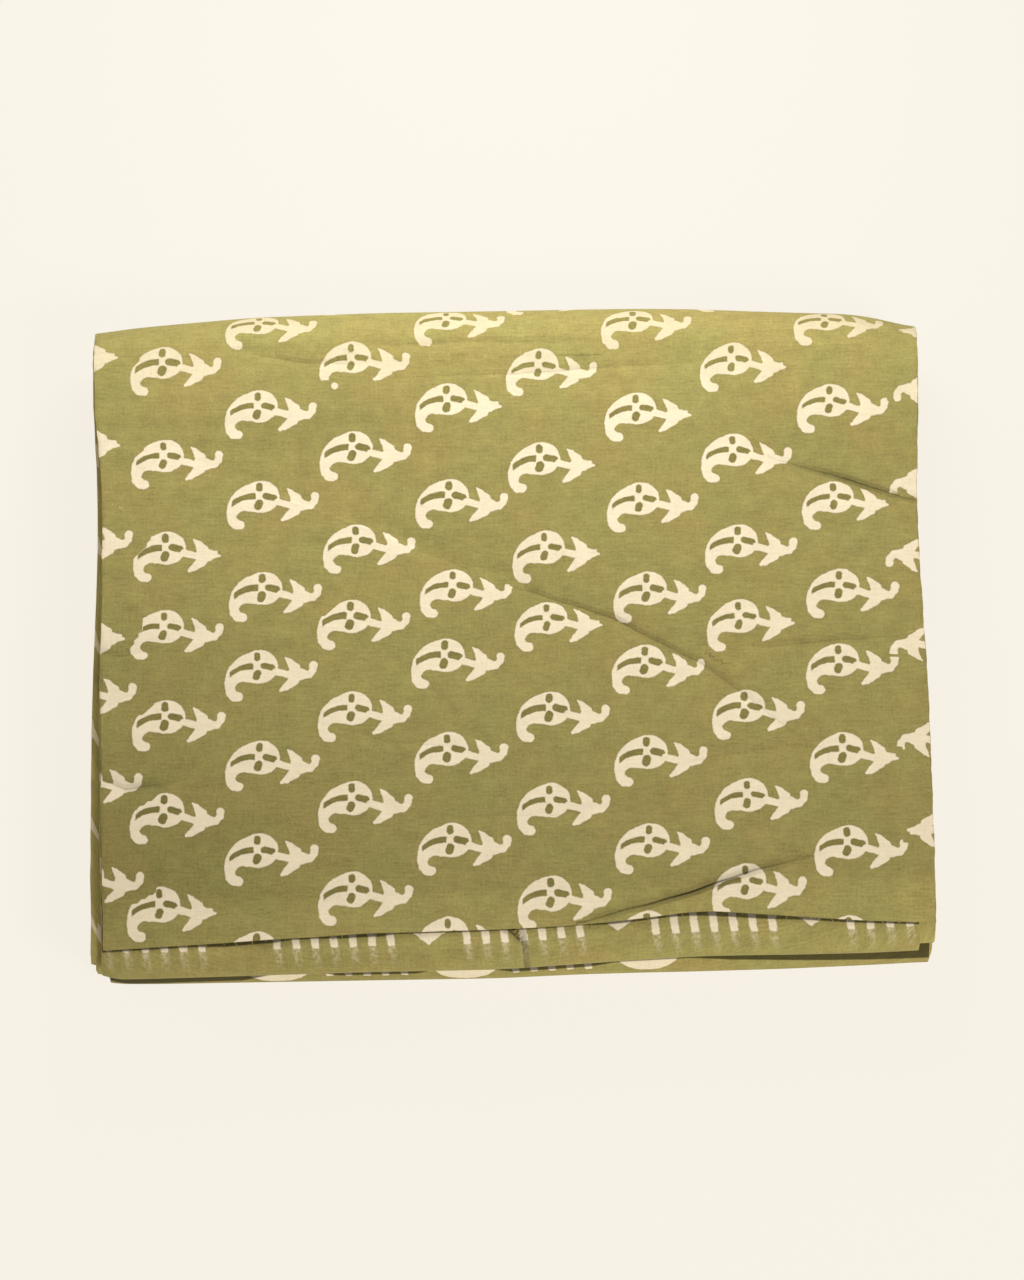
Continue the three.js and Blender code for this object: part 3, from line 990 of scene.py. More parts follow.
def make_paisley_group():
    inputs = {"Point": VECTOR_SOCKET}
    inputs.update({name: FLOAT_SOCKET for name in ("Plain tip", "Cut tail", "Slot width")})
    outputs = {"Distance": FLOAT_SOCKET, "Slot": FLOAT_SOCKET}
    tree, given, result = new_group("Paisley", inputs, outputs)
    point = given.outputs["Point"]
    parts = add_node(tree, "ShaderNodeSeparateXYZ", [point])
    x, y = parts.outputs[0], parts.outputs[1]
    body = make_ellipse(tree, point, BODY)
    curve = make_ellipse(tree, point, BACK_CURVE)
    right_limit = add_node(tree, MATH, [x, TAIL_FROM], operation="SUBTRACT")
    tail = add_node(tree, MATH, [curve, right_limit], operation="MAXIMUM")
    under = add_node(tree, MATH, [y, BELLY], operation="SUBTRACT")
    right_of_hook = add_node(tree, MATH, [HOOK["middle"][0], x], operation="SUBTRACT")
    under = add_node(tree, MATH, [under, right_of_hook], operation="MAXIMUM")
    hollow = add_node(tree, MATH, [under, make_ellipse(tree, point, HOOK)], operation="MINIMUM")
    tail = cut_away(tree, tail, hollow)
    tails = []
    for end in (TAIL_END, CUT_TAIL_END):
        low_limit = add_node(tree, MATH, [end, y], operation="SUBTRACT")
        tails.append(add_node(tree, MATH, [tail, low_limit, ROUND_TAIL], operation="SMOOTH_MAX"))
    whole_tail = join_shapes(tree, [tails[0], make_strokes(tree, point, TAIL_STROKES)])
    short_tail = add_node(tree, MATH, [tails[1], make_ellipse(tree, point, TAIL_DOT)], operation="MINIMUM")
    tail = add_node(tree, "ShaderNodeMix", [given.outputs["Cut tail"], None, whole_tail, short_tail])
    leaf = join_shapes(tree, [body, tail])
    ring_offset = add_node(tree, VECTOR, [point, (*LEFT_SLOT["middle"], 0)], operation="SUBTRACT")
    ring_length = add_node(tree, VECTOR, [ring_offset], operation="LENGTH").outputs["Value"]
    ring = add_node(tree, MATH, [ring_length, LEFT_SLOT["radius"]], operation="SUBTRACT")
    ring = add_node(tree, MATH, [ring], operation="ABSOLUTE")
    widening = [x, LEFT_SLOT["left"], LEFT_SLOT["widest"], *LEFT_SLOT_WIDTHS]
    half_width = add_node(tree, "ShaderNodeMapRange", widening)
    ring = add_node(tree, MATH, [ring, half_width], operation="SUBTRACT")
    left = add_node(tree, MATH, [LEFT_SLOT["left"], x], operation="SUBTRACT")
    ring = add_node(tree, MATH, [ring, left, ROUND_SLOT_LEFT], operation="SMOOTH_MAX")
    inner = add_node(tree, MATH, [x, LEFT_SLOT["inner_end"]], operation="SUBTRACT")
    ring = add_node(tree, MATH, [ring, inner, ROUND_SLOT_RIGHT], operation="SMOOTH_MAX")
    short_slots = make_strokes(tree, point, SHORT_SLOTS, CRISP_JOIN)
    slots = add_node(tree, MATH, [ring, short_slots], operation="MINIMUM")
    slot = add_node(tree, MATH, [slots, given.outputs["Slot width"]], operation="SUBTRACT")
    inside = add_node(tree, MATH, [leaf, SLOT_INSET], operation="ADD")
    open_slot = add_node(tree, MATH, [slot, inside], operation="MAXIMUM")
    leaf = cut_away(tree, leaf, slot)
    flower = make_strokes(tree, point, FLOWER_STROKES)
    curled = make_strokes(tree, point, CURLED_TIP)
    plain_end = make_strokes(tree, point, PLAIN_TIP)
    tip = add_node(tree, "ShaderNodeMix", [given.outputs["Plain tip"], None, curled, plain_end])
    flower = join_shapes(tree, [flower, tip])
    whole = join_shapes(tree, [leaf, flower], STEM_JOIN)
    tree.links.new(whole.outputs[0], result.inputs["Distance"])
    tree.links.new(open_slot.outputs[0], result.inputs["Slot"])
    return tree


PAISLEY = make_paisley_group()
print("The paisley group has", len(PAISLEY.nodes), "nodes")

# %% [markdown]
# The field repeats the motif. Every second column is half a step lower, as in a brick wall.
# Each print gets its own small turn and slip from a random number that belongs to its column and row.
# Two noises push its outline about, because mud never leaves the block with a clean edge.

# %% The field of the print
TURN_ERROR = math.radians(2.2)
SLIP_ERROR = 0.4
PLAIN_TIP_SHARE = 0.2
CUT_TAIL_SHARE = 0.08
CROWDED_ROW = -7
PRINT_SEED = 0.37
SLOT_WIDENING = (0.15, 0.5)

# The unevenness of the outline, as length and reach: a slow waver and a fine tooth
EDGE_NOISES = ((3.2, 0.8), (0.9, 0.4))
HALF = (0.5, 0.5, 0.5)
NEARLY_EQUAL = 0.1


def make_field_group():
    outputs = {"Distance": FLOAT_SOCKET, "Slot": FLOAT_SOCKET}
    tree, given, result = new_group("Field print", {"Print": VECTOR_SOCKET}, outputs)
    parts = add_node(tree, "ShaderNodeSeparateXYZ", [given.outputs[0]])
    across, along = parts.outputs[0], parts.outputs[1]
    column_share = [across, 1 / COLUMN_PITCH, 0.5 - MOTIF_MIDDLE[0] / COLUMN_PITCH]
    column = add_node(tree, MATH, column_share, operation="MULTIPLY_ADD")
    column = add_node(tree, MATH, [column], operation="FLOOR")
    odd = add_node(tree, MATH, [column, 2], operation="FLOORED_MODULO")
    even = add_node(tree, MATH, [1, odd], operation="SUBTRACT")
    lowered = add_node(tree, MATH, [even, ROW_PITCH / 2, along], operation="MULTIPLY_ADD")
    row_share = [lowered, 1 / ROW_PITCH, 0.5 - MOTIF_MIDDLE[1] / ROW_PITCH]
    row = add_node(tree, MATH, row_share, operation="MULTIPLY_ADD")
    row = add_node(tree, MATH, [row], operation="FLOOR")
    u = add_node(tree, MATH, [column, -COLUMN_PITCH, across], operation="MULTIPLY_ADD")
    v = add_node(tree, MATH, [row, -ROW_PITCH, lowered], operation="MULTIPLY_ADD")
    local = add_node(tree, "ShaderNodeCombineXYZ", [u, v])
    local = add_node(tree, VECTOR, [local, (*MOTIF_MIDDLE, 0)], operation="SUBTRACT")
    turned = add_node(tree, MATH, [column, TURNED_FROM_COLUMN - 0.5], operation="GREATER_THAN")
    sign = add_node(tree, MATH, [turned, -2, 1], operation="MULTIPLY_ADD")
    local = add_node(tree, VECTOR, {0: local, "Scale": sign}, operation="SCALE")
    own_number = add_node(tree, "ShaderNodeCombineXYZ", [column, row, PRINT_SEED])
    chance = add_node(tree, "ShaderNodeTexWhiteNoise", [own_number], noise_dimensions="3D")
    centred = add_node(tree, VECTOR, [chance.outputs["Color"], HALF], operation="SUBTRACT")
    slip = add_node(tree, VECTOR, [centred, (SLIP_ERROR, SLIP_ERROR, 0)], operation="MULTIPLY")
    local = add_node(tree, VECTOR, [local, slip], operation="ADD")
    angle = add_node(tree, "ShaderNodeMapRange", [chance.outputs["Value"], 0, 1, -TURN_ERROR, TURN_ERROR])
    values = {"Vector": local, "Angle": angle}
    local = add_node(tree, "ShaderNodeVectorRotate", values, rotation_type="Z_AXIS")
    for length, reach in EDGE_NOISES:
        values = {"Vector": given.outputs[0], "Scale": 1 / length, "Detail": 1.0}
        noise = add_node(tree, "ShaderNodeTexNoise", values)
        push = add_node(tree, VECTOR, [noise.outputs["Color"], HALF], operation="SUBTRACT")
        push = add_node(tree, VECTOR, [push, (reach, reach, 0)], operation="MULTIPLY")
        local = add_node(tree, VECTOR, [local, push], operation="ADD")
    local = add_node(tree, VECTOR, [local, (*MOTIF_MIDDLE, 0)], operation="ADD")
    others = add_node(tree, "ShaderNodeSeparateColor", [chance.outputs["Color"]])
    plain_tip = add_node(tree, MATH, [others.outputs["Red"], PLAIN_TIP_SHARE], operation="LESS_THAN")
    row_is_crowded = add_node(tree, MATH, [row, CROWDED_ROW, NEARLY_EQUAL], operation="COMPARE")
    cut_tail = add_node(tree, MATH, [others.outputs["Green"], CUT_TAIL_SHARE], operation="LESS_THAN")
    slot_width = add_node(tree, "ShaderNodeMapRange", [others.outputs["Blue"], 0, 1, *SLOT_WIDENING])
    last_column = [column, TURNED_FROM_COLUMN - 1, NEARLY_EQUAL]
    near_edge = add_node(tree, MATH, last_column, operation="COMPARE")
    near_edge = add_node(tree, MATH, [near_edge, row_is_crowded], operation="MULTIPLY")
    plain_tip = add_node(tree, MATH, [plain_tip, near_edge], operation="MAXIMUM")
    values = [local, plain_tip, cut_tail, slot_width]
    paisley = add_node(tree, "ShaderNodeGroup", values, node_tree=PAISLEY)
    tree.links.new(paisley.outputs["Distance"], result.inputs["Distance"])
    tree.links.new(paisley.outputs["Slot"], result.inputs["Slot"])
    return tree


FIELD_PRINT = make_field_group()
print("The field group has", len(FIELD_PRINT.nodes), "nodes")

# %% [markdown]
# The border is drawn the same way. Its bars are full down to the shoulder of the fold and then fade,
# because the mud was rubbed thin there. Between two groups hangs the tip of a leaf.
# On the lower band a group has five bars, a large round leaf follows it, and nothing fades.

# %% The border of the print
BAR_STEP = GROUP_LENGTH / 10
BARS_IN_GROUP = 7
BAR_HALF_WIDTH = 1.75
BAR_LEAN = 0.15
FULL_BAR_END = 2.4
FAINT_BAR_END = 13.0
LEAF_TIP = {"place": 8.0, "slope": 0.72}
LARGE_LEAF = {"place": 7.5, "radius": 19.0, "end": 17.9}
LAST_LOWER_BAR = 4.5
LOWER_BARS_END = 13.9
LOWER_PRINT = (135.0, 344.0)
BORDER_NOISE_SCALE = 0.35
BORDER_WAVER = (1.3, 1.6, 0)
ROUND_BAR = 1.2
FAINT_BAR_SIDE = (0.8, -0.9)

# Added to the distance of a shape where it isn't wanted
OUT_OF_REACH = 50


def make_border_group():
    inputs = {"Print": VECTOR_SOCKET, "Lower": FLOAT_SOCKET, "Tip": FLOAT_SOCKET}
    outputs = {"Distance": FLOAT_SOCKET, "Faint": FLOAT_SOCKET}
    tree, given, result = new_group("Border print", inputs, outputs)
    values = {"Vector": given.outputs[0], "Scale": BORDER_NOISE_SCALE, "Detail": 2.0}
    noise = add_node(tree, "ShaderNodeTexNoise", values)
    push = add_node(tree, VECTOR, [noise.outputs["Color"], HALF], operation="SUBTRACT")
    push = add_node(tree, VECTOR, [push, BORDER_WAVER], operation="MULTIPLY")
    point = add_node(tree, VECTOR, [given.outputs[0], push], operation="ADD")
    parts = add_node(tree, "ShaderNodeSeparateXYZ", [point])
    across, down = parts.outputs[0], parts.outputs[1]
    leaning = add_node(tree, MATH, [down, -BAR_LEAN, across], operation="MULTIPLY_ADD")
    leaning = add_node(tree, MATH, [leaning, BAR_STEP / 2], operation="ADD")
    in_group = add_node(tree, MATH, [leaning, GROUP_LENGTH], operation="FLOORED_MODULO")
    slot = add_node(tree, MATH, [in_group, BAR_STEP], operation="DIVIDE")
    slot = add_node(tree, MATH, [slot], operation="FLOOR")
    from_slot = add_node(tree, MATH, [slot, -BAR_STEP, -BAR_STEP / 2], operation="MULTIPLY_ADD")
    bar = add_node(tree, MATH, [in_group, from_slot], operation="ADD")
    bar = add_node(tree, MATH, [bar], operation="ABSOLUTE")
    bar = add_node(tree, MATH, [bar, BAR_HALF_WIDTH], operation="SUBTRACT")
    lower = given.outputs["Lower"]
    last = add_node(tree, "ShaderNodeMix", [lower, None, BARS_IN_GROUP - 0.5, LAST_LOWER_BAR])
    extra = add_node(tree, MATH, [slot, last], operation="SUBTRACT")
    too_far = add_node(tree, MATH, [extra, 0], operation="GREATER_THAN")
    bar = add_node(tree, MATH, [too_far, OUT_OF_REACH, bar], operation="MULTIPLY_ADD")
    full_end = add_node(tree, "ShaderNodeMix", [lower, None, FULL_BAR_END, LOWER_BARS_END])
    past_full = add_node(tree, MATH, [down, full_end], operation="SUBTRACT")
    full_bar = add_node(tree, MATH, [bar, past_full, ROUND_BAR], operation="SMOOTH_MAX")
    straight = add_node(tree, MATH, [across, GROUP_LENGTH], operation="FLOORED_MODULO")
    from_tip = add_node(tree, MATH, [straight, BAR_STEP * LEAF_TIP["place"]], operation="SUBTRACT")
    from_tip = add_node(tree, MATH, [from_tip], operation="ABSOLUTE")
    tip = add_node(tree, MATH, [from_tip, LEAF_TIP["slope"], down], operation="MULTIPLY_ADD")
    tip = add_node(tree, MATH, [tip, given.outputs["Tip"]], operation="SUBTRACT")
    tip = add_node(tree, MATH, [lower, OUT_OF_REACH, tip], operation="MULTIPLY_ADD")
    middle = (BAR_STEP * LARGE_LEAF["place"], LARGE_LEAF["end"] - LARGE_LEAF["radius"], 0)
    leaf_point = add_node(tree, "ShaderNodeCombineXYZ", [straight, down])
    offset = add_node(tree, VECTOR, [leaf_point, middle], operation="SUBTRACT")
    leaf = add_node(tree, VECTOR, [offset], operation="LENGTH").outputs["Value"]
    leaf = add_node(tree, MATH, [leaf, LARGE_LEAF["radius"]], operation="SUBTRACT")
    upper = add_node(tree, MATH, [1, lower], operation="SUBTRACT")
    leaf = add_node(tree, MATH, [upper, OUT_OF_REACH, leaf], operation="MULTIPLY_ADD")
    shapes = add_node(tree, MATH, [full_bar, tip], operation="MINIMUM")
    shapes = add_node(tree, MATH, [shapes, leaf], operation="MINIMUM")
    before = add_node(tree, MATH, [across, LOWER_PRINT[0]], operation="LESS_THAN")
    after = add_node(tree, MATH, [across, LOWER_PRINT[1]], operation="GREATER_THAN")
    outside = add_node(tree, MATH, [before, after], operation="ADD")
    outside = add_node(tree, MATH, [outside, lower], operation="MULTIPLY")
    shapes = add_node(tree, MATH, [outside, OUT_OF_REACH, shapes], operation="MULTIPLY_ADD")
    in_bar = add_node(tree, "ShaderNodeMapRange", [bar, *FAINT_BAR_SIDE, 0, 1])
    fade = add_node(tree, "ShaderNodeMapRange", [down, FULL_BAR_END, FAINT_BAR_END, 1, 0])
    faint = add_node(tree, MATH, [in_bar, fade], operation="MULTIPLY")
    faint = add_node(tree, MATH, [faint, upper], operation="MULTIPLY")
    tree.links.new(shapes.outputs[0], result.inputs["Distance"])
    tree.links.new(faint.outputs[0], result.inputs["Faint"])
    return tree


BORDER_PRINT = make_border_group()
print("The border group has", len(BORDER_PRINT.nodes), "nodes")

# %% [markdown]
# The cloth is plain weave cotton cambric, dyed in an olive vat and printed with mud. It looks dead matt,
# with crisp but not sharp prints. Its material is built in steps. The first is one mask for the print,
# from 0 on dyed cloth to 1 on cream. On the reverse the print shows through as a faint stain.

# %% Block printed cotton cambric: the print
EDGE_SOFTNESS = 0.32
RUB_GRAIN = 2.2
RUB_RANGE = (0.35, 0.6)
RUB_STRENGTH = 0.42
SHOWS_THROUGH = 0.35


def stretched_noise(tree, vector, across, along, detail=2.0):
    """Noise whose grains are that many mm across and along the cloth."""
    scaled = add_node(tree, VECTOR, [vector, (1 / across, 1 / along, 1)], operation="MULTIPLY")
    return add_node(tree, "ShaderNodeTexNoise", {"Vector": scaled, "Scale": 1.0, "Detail": detail})


printed_cotton = bpy.data.materials.new("block_printed_cotton_cambric")
printed_cotton.use_nodes = True
cotton = printed_cotton.node_tree
cotton.nodes.clear()
maps = {}
for name in point_maps:
    uv = add_node(cotton, "ShaderNodeUVMap", uv_map=name)
    maps[name] = add_node(cotton, VECTOR, {0: uv, "Scale": 1 / MM}, operation="SCALE")
weave = maps["weave"]
kept = {}
for name in VALUE_NAMES:
    kept[name] = add_node(cotton, "ShaderNodeAttribute", attribute_name=name).outputs["Fac"]
in_band = add_node(cotton, MATH, [kept["band"], 0.5], operation="GREATER_THAN")
in_lower = add_node(cotton, MATH, [kept["band"], 1.5], operation="GREATER_THAN")
in_field = add_node(cotton, MATH, [1, in_band], operation="SUBTRACT")
field = add_node(cotton, "ShaderNodeGroup", [maps["print"]], node_tree=FIELD_PRINT)
border = add_node(cotton, "ShaderNodeGroup", [maps["print"], in_lower, kept["tip"]], node_tree=BORDER_PRINT)
distance = add_node(cotton, "ShaderNodeMix", [in_band, None, field, border.outputs["Distance"]])
values = [distance, EDGE_SOFTNESS, -EDGE_SOFTNESS, 0, 1]
mask = add_node(cotton, "ShaderNodeMapRange", values, interpolation_type="SMOOTHSTEP")
rubbed = stretched_noise(cotton, weave, RUB_GRAIN, RUB_GRAIN, 3.0)
rub = add_node(cotton, "ShaderNodeMapRange", [rubbed, *RUB_RANGE, 0, RUB_STRENGTH])
faint = add_node(cotton, MATH, [border.outputs["Faint"], rub], operation="MULTIPLY")
faint = add_node(cotton, MATH, [faint, in_band], operation="MULTIPLY")
mask = add_node(cotton, MATH, [mask, faint], operation="MAXIMUM")
through = add_node(cotton, "ShaderNodeMapRange", [kept["reverse"], 0, 1, 1, SHOWS_THROUGH])
mask = add_node(cotton, MATH, [mask, through], operation="MULTIPLY")
print("With the print, the material has", len(cotton.nodes), "nodes")

# %% [markdown]
# The dye takes unevenly: broad clouds of greener and browner olive, streaks along the weft, and blots.
# The threads are about a third of a millimetre apart, too fine to show at this distance, so the slubs are
# drawn three threads thick. Dye pools in the slots of a leaf and creeps a little round each print.

# %% Block printed cotton cambric: the dye
THREAD_SPACING = 0.36
DRAWN_THREAD = 3 * THREAD_SPACING
SLUB_LENGTH = 7.0
GRAIN_SIZE = 1.1
BLOT_SIZE = 9.0
CLOUD_SIZE = 34.0
CLOUD_RANGE = (0.38, 0.62)
STREAK_LENGTH = 160.0
STREAK_THICKNESS = 5.0
STREAK_STRENGTH = 0.16
BASE_TONE = 0.92
SLUB_STRENGTH = 0.40
WARP_STRENGTH = 0.22
GRAIN_STRENGTH = 0.55
BLOT_STRENGTH = 0.35
DYE_GREEN = linear_colour("#999054")
DYE_BROWN = linear_colour("#9e8f54")
DYE_IN_SLOTS = linear_colour("#877d46")
SLOT_SIDE = (0.4, -0.2)
RIM_WIDTH = 0.9
RIM_DARKENING = 0.12

# From here to there along the cloth the dye turns paler towards the back fold: painted light, for the bright
# light on that fold
BACK_LIGHT_RANGE = (95, 150)
BACK_FOLD_PAINTED_LIGHT = 1.2

clouds = stretched_noise(cotton, weave, CLOUD_SIZE, CLOUD_SIZE, 3.0)
cloud_share = add_node(cotton, "ShaderNodeMapRange", [clouds, *CLOUD_RANGE, 0, 1])
values = {"Factor": cloud_share, "A": DYE_GREEN, "B": DYE_BROWN}
dye = add_node(cotton, "ShaderNodeMix", values, data_type="RGBA").outputs["Result"]
in_slot = add_node(cotton, "ShaderNodeMapRange", [field.outputs["Slot"], *SLOT_SIDE, 0, 1])
in_slot = add_node(cotton, MATH, [in_slot, in_field], operation="MULTIPLY")
values = {"Factor": in_slot, "A": dye, "B": DYE_IN_SLOTS}
dye = add_node(cotton, "ShaderNodeMix", values, data_type="RGBA").outputs["Result"]

streaks = stretched_noise(cotton, weave, STREAK_LENGTH, STREAK_THICKNESS, 2.0)
slubs = stretched_noise(cotton, weave, SLUB_LENGTH, DRAWN_THREAD, 1.0)
warp = stretched_noise(cotton, weave, DRAWN_THREAD, SLUB_LENGTH, 1.0)
grain = stretched_noise(cotton, weave, GRAIN_SIZE, GRAIN_SIZE, 2.0)
blots = stretched_noise(cotton, weave, BLOT_SIZE, BLOT_SIZE, 2.0)
uneven_and_painted_light = add_node(cotton, MATH, [streaks, STREAK_STRENGTH, BASE_TONE], operation="MULTIPLY_ADD")
for texture, strength in (
    (slubs, SLUB_STRENGTH),
    (warp, WARP_STRENGTH),
    (grain, GRAIN_STRENGTH),
    (blots, BLOT_STRENGTH),
):
    centred = add_node(cotton, MATH, [texture, 0.5], operation="SUBTRACT")
    uneven_and_painted_light = add_node(cotton, MATH, [centred, strength, uneven_and_painted_light], operation="MULTIPLY_ADD")
rim = add_node(cotton, "ShaderNodeMapRange", [distance, RIM_WIDTH, 0, 1, 1 - RIM_DARKENING])
along = add_node(cotton, "ShaderNodeSeparateXYZ", [weave]).outputs[1]
painted_back_light = add_node(cotton, "ShaderNodeMapRange", [along, *BACK_LIGHT_RANGE, 1, BACK_FOLD_PAINTED_LIGHT])
# The painted light on the back fold and the tone, with its painted shade and light, join the dye's unevenness
# here
for factor in (rim, painted_back_light, kept["tone"]):
    uneven_and_painted_light = add_node(cotton, MATH, [uneven_and_painted_light, factor], operation="MULTIPLY")
dye = add_node(cotton, VECTOR, {0: dye, "Scale": uneven_and_painted_light}, operation="SCALE")
print("With the dye, the material has", len(cotton.nodes), "nodes")

# %% [markdown]
# Under the washed off mud the cotton is bare: a warm cream, with paler patches where the mud was thick.
# It shares a part of the dye's unevenness, because the same threads carry both, and with it a part of the
# painted light and shade.

# %% Block printed cotton cambric: the bare cotton
RESIST_CREAM = linear_colour("#efdebb")
RESIST_PALE = linear_colour("#f8e8c8")
RESIST_AT_BACK = linear_colour("#dccca5")
CREAM_PATCH_SIZE = 6.0
CREAM_UNEVEN = 0.4

cream_noise = stretched_noise(cotton, weave, CREAM_PATCH_SIZE, CREAM_PATCH_SIZE, 3.0)
values = {"Factor": cream_noise, "A": RESIST_CREAM, "B": RESIST_PALE}
cream = add_node(cotton, "ShaderNodeMix", values, data_type="RGBA").outputs["Result"]
# Over the same stretch the cream turns darker and yellower, held down under the bright light on the back fold
at_back = add_node(cotton, "ShaderNodeMapRange", [along, *BACK_LIGHT_RANGE, 0, 1])
at_back = add_node(cotton, MATH, [at_back, in_field], operation="MULTIPLY")
values = {"Factor": at_back, "A": cream, "B": RESIST_AT_BACK}
cream = add_node(cotton, "ShaderNodeMix", values, data_type="RGBA").outputs["Result"]
less_uneven_and_painted_light = add_node(cotton, MATH, [uneven_and_painted_light, CREAM_UNEVEN, 1 - CREAM_UNEVEN], operation="MULTIPLY_ADD")
cream = add_node(cotton, VECTOR, {0: cream, "Scale": less_uneven_and_painted_light}, operation="SCALE")
values = {"Factor": mask, "A": dye, "B": cream}
colour = add_node(cotton, "ShaderNodeMix", values, data_type="RGBA").outputs["Result"]
print("With the cream, the material has", len(cotton.nodes), "nodes")

# %% [markdown]
# A sharp crease is a thin dark line of painted shade with a soft painted shade on its rear side, and a groove
# in the bump.
# The painted shade lines between the layers are drawn from their own distances.

# %% Block printed cotton cambric: creases and painted shade
CREASE_LINE = 1.2
CREASE_GROOVE = 2.6
CREASE_DARKENING = 0.3
CREASE_SHADE = 0.12
CREASE_SHADE_WIDTH = 5.0
DEEPEST_SHADE = 1.2
SHADE_LINE_FADE = 0.35
SHADE_LINE_TONE = 0.22

# Painted shade: a dark line along each sharp crease, and a softer shade on its rear side
away = add_node(cotton, MATH, [kept["crease"]], operation="ABSOLUTE")
values = [away, 0, CREASE_LINE, 1, 0]
on_line = add_node(cotton, "ShaderNodeMapRange", values, interpolation_type="SMOOTHSTEP")
line = add_node(cotton, MATH, [on_line, kept["crease_depth"]], operation="MULTIPLY")
line = add_node(cotton, MATH, [line, on_line], operation="MULTIPLY")
shade = add_node(cotton, MATH, [line, -CREASE_DARKENING, 1], operation="MULTIPLY_ADD")
rear = add_node(cotton, "ShaderNodeMapRange", [kept["crease"], 0, CREASE_SHADE_WIDTH, CREASE_SHADE, 0])
on_rear = add_node(cotton, MATH, [kept["crease"], 0], operation="GREATER_THAN")
rear = add_node(cotton, MATH, [rear, on_rear], operation="MULTIPLY")
shallow = add_node(cotton, MATH, [kept["crease_depth"], DEEPEST_SHADE], operation="MINIMUM")
rear = add_node(cotton, MATH, [rear, shallow], operation="MULTIPLY")
rear = add_node(cotton, MATH, [1, rear], operation="SUBTRACT")
# Painted shade: a thin dark line where one layer lies over the next
values = [kept["past_shade_line"], -SHADE_LINE_FADE, SHADE_LINE_FADE, SHADE_LINE_TONE, 1]
painted_shade_line = add_node(cotton, "ShaderNodeMapRange", values, interpolation_type="SMOOTHSTEP")
for factor in (rear, painted_shade_line):
    shade = add_node(cotton, MATH, [shade, factor], operation="MULTIPLY")
colour = add_node(cotton, VECTOR, {0: colour, "Scale": shade}, operation="SCALE")
values = [away, 0, CREASE_GROOVE, 1, 0]
groove = add_node(cotton, "ShaderNodeMapRange", values, interpolation_type="SMOOTHSTEP")
groove = add_node(cotton, MATH, [groove, kept["crease_depth"]], operation="MULTIPLY")
print("With the creases, the material has", len(cotton.nodes), "nodes")

# %% [markdown]
# Two bumps finish the cloth: the slubs of weft and warp with the grain of spun cotton, and the grooves.
# Cotton is rough and scatters light evenly. A trace of sheen stands for the fibres that stand up from it.

# %% Block printed cotton cambric: threads and gloss
COTTON_ROUGHNESS = 0.88
COTTON_SHEEN = 0.04
COTTON_SHEEN_ROUGHNESS = 0.5
COTTON_SPECULAR = 0.08
GRAIN_HEIGHT = 0.6
THREAD_BUMP = {"Strength": 0.4, "Distance": 0.25 * MM}
GROOVE_BUMP = {"Strength": 1.0, "Distance": -0.7 * MM}

height = add_node(cotton, MATH, [slubs, warp], operation="ADD")
height = add_node(cotton, MATH, [grain, GRAIN_HEIGHT, height], operation="MULTIPLY_ADD")
bump = add_node(cotton, "ShaderNodeBump", {**THREAD_BUMP, "Height": height})
bump = add_node(cotton, "ShaderNodeBump", {**GROOVE_BUMP, "Height": groove, "Normal": bump})
shader = add_node(cotton, "ShaderNodeBsdfPrincipled", {
    "Base Color": colour,
    "Roughness": COTTON_ROUGHNESS,
    "Sheen Weight": COTTON_SHEEN,
    "Sheen Roughness": COTTON_SHEEN_ROUGHNESS,
    "Specular IOR Level": COTTON_SPECULAR,
    "Normal": bump,
})
add_node(cotton, "ShaderNodeOutputMaterial", {"Surface": shader})
cloth.data.materials.append(printed_cotton)
print("The whole cotton material has", len(cotton.nodes), "nodes")

# %% [markdown]
# The flap's front edge was torn along a thread and is not hemmed, so short threads stick out of it.
# They follow a path along that edge, so Geometry Nodes scatter them: points on the path, a short bent
# thread on each, a random turn and length from a fixed seed. The result is turned into a plain mesh.
# They are of the cloth's own dyed cotton, spun loosely, so they look like matt olive hairs without a gleam.

# %% Loose threads
THREAD_INPUTS = {"Threads": 54, "Length": 2.6 * MM, "Thickness": 0.14 * MM, "Seed": 5}

# One thread of length 1: where it starts, bends and ends
THREAD_CURVE = {
    "Resolution": 5,
    "Start": (0, 0, 0),
    "Middle": (0.12, -0.55, 0.10),
    "End": (0.45, -0.9, -0.16),
}
THREAD_SIDES = 5
THREAD_SLIPS = ((-2.2 * MM, 0.0, 0.0), (2.2 * MM, 0.0, 0.0))
THREAD_TURNS = ((-0.35, -0.3, -1.0), (0.15, 0.3, 1.0))
THREAD_SIZES = (0.25, 1.0)
THREAD_SET_BACK = 0.3
STATIONS_LEFT_BARE = 2


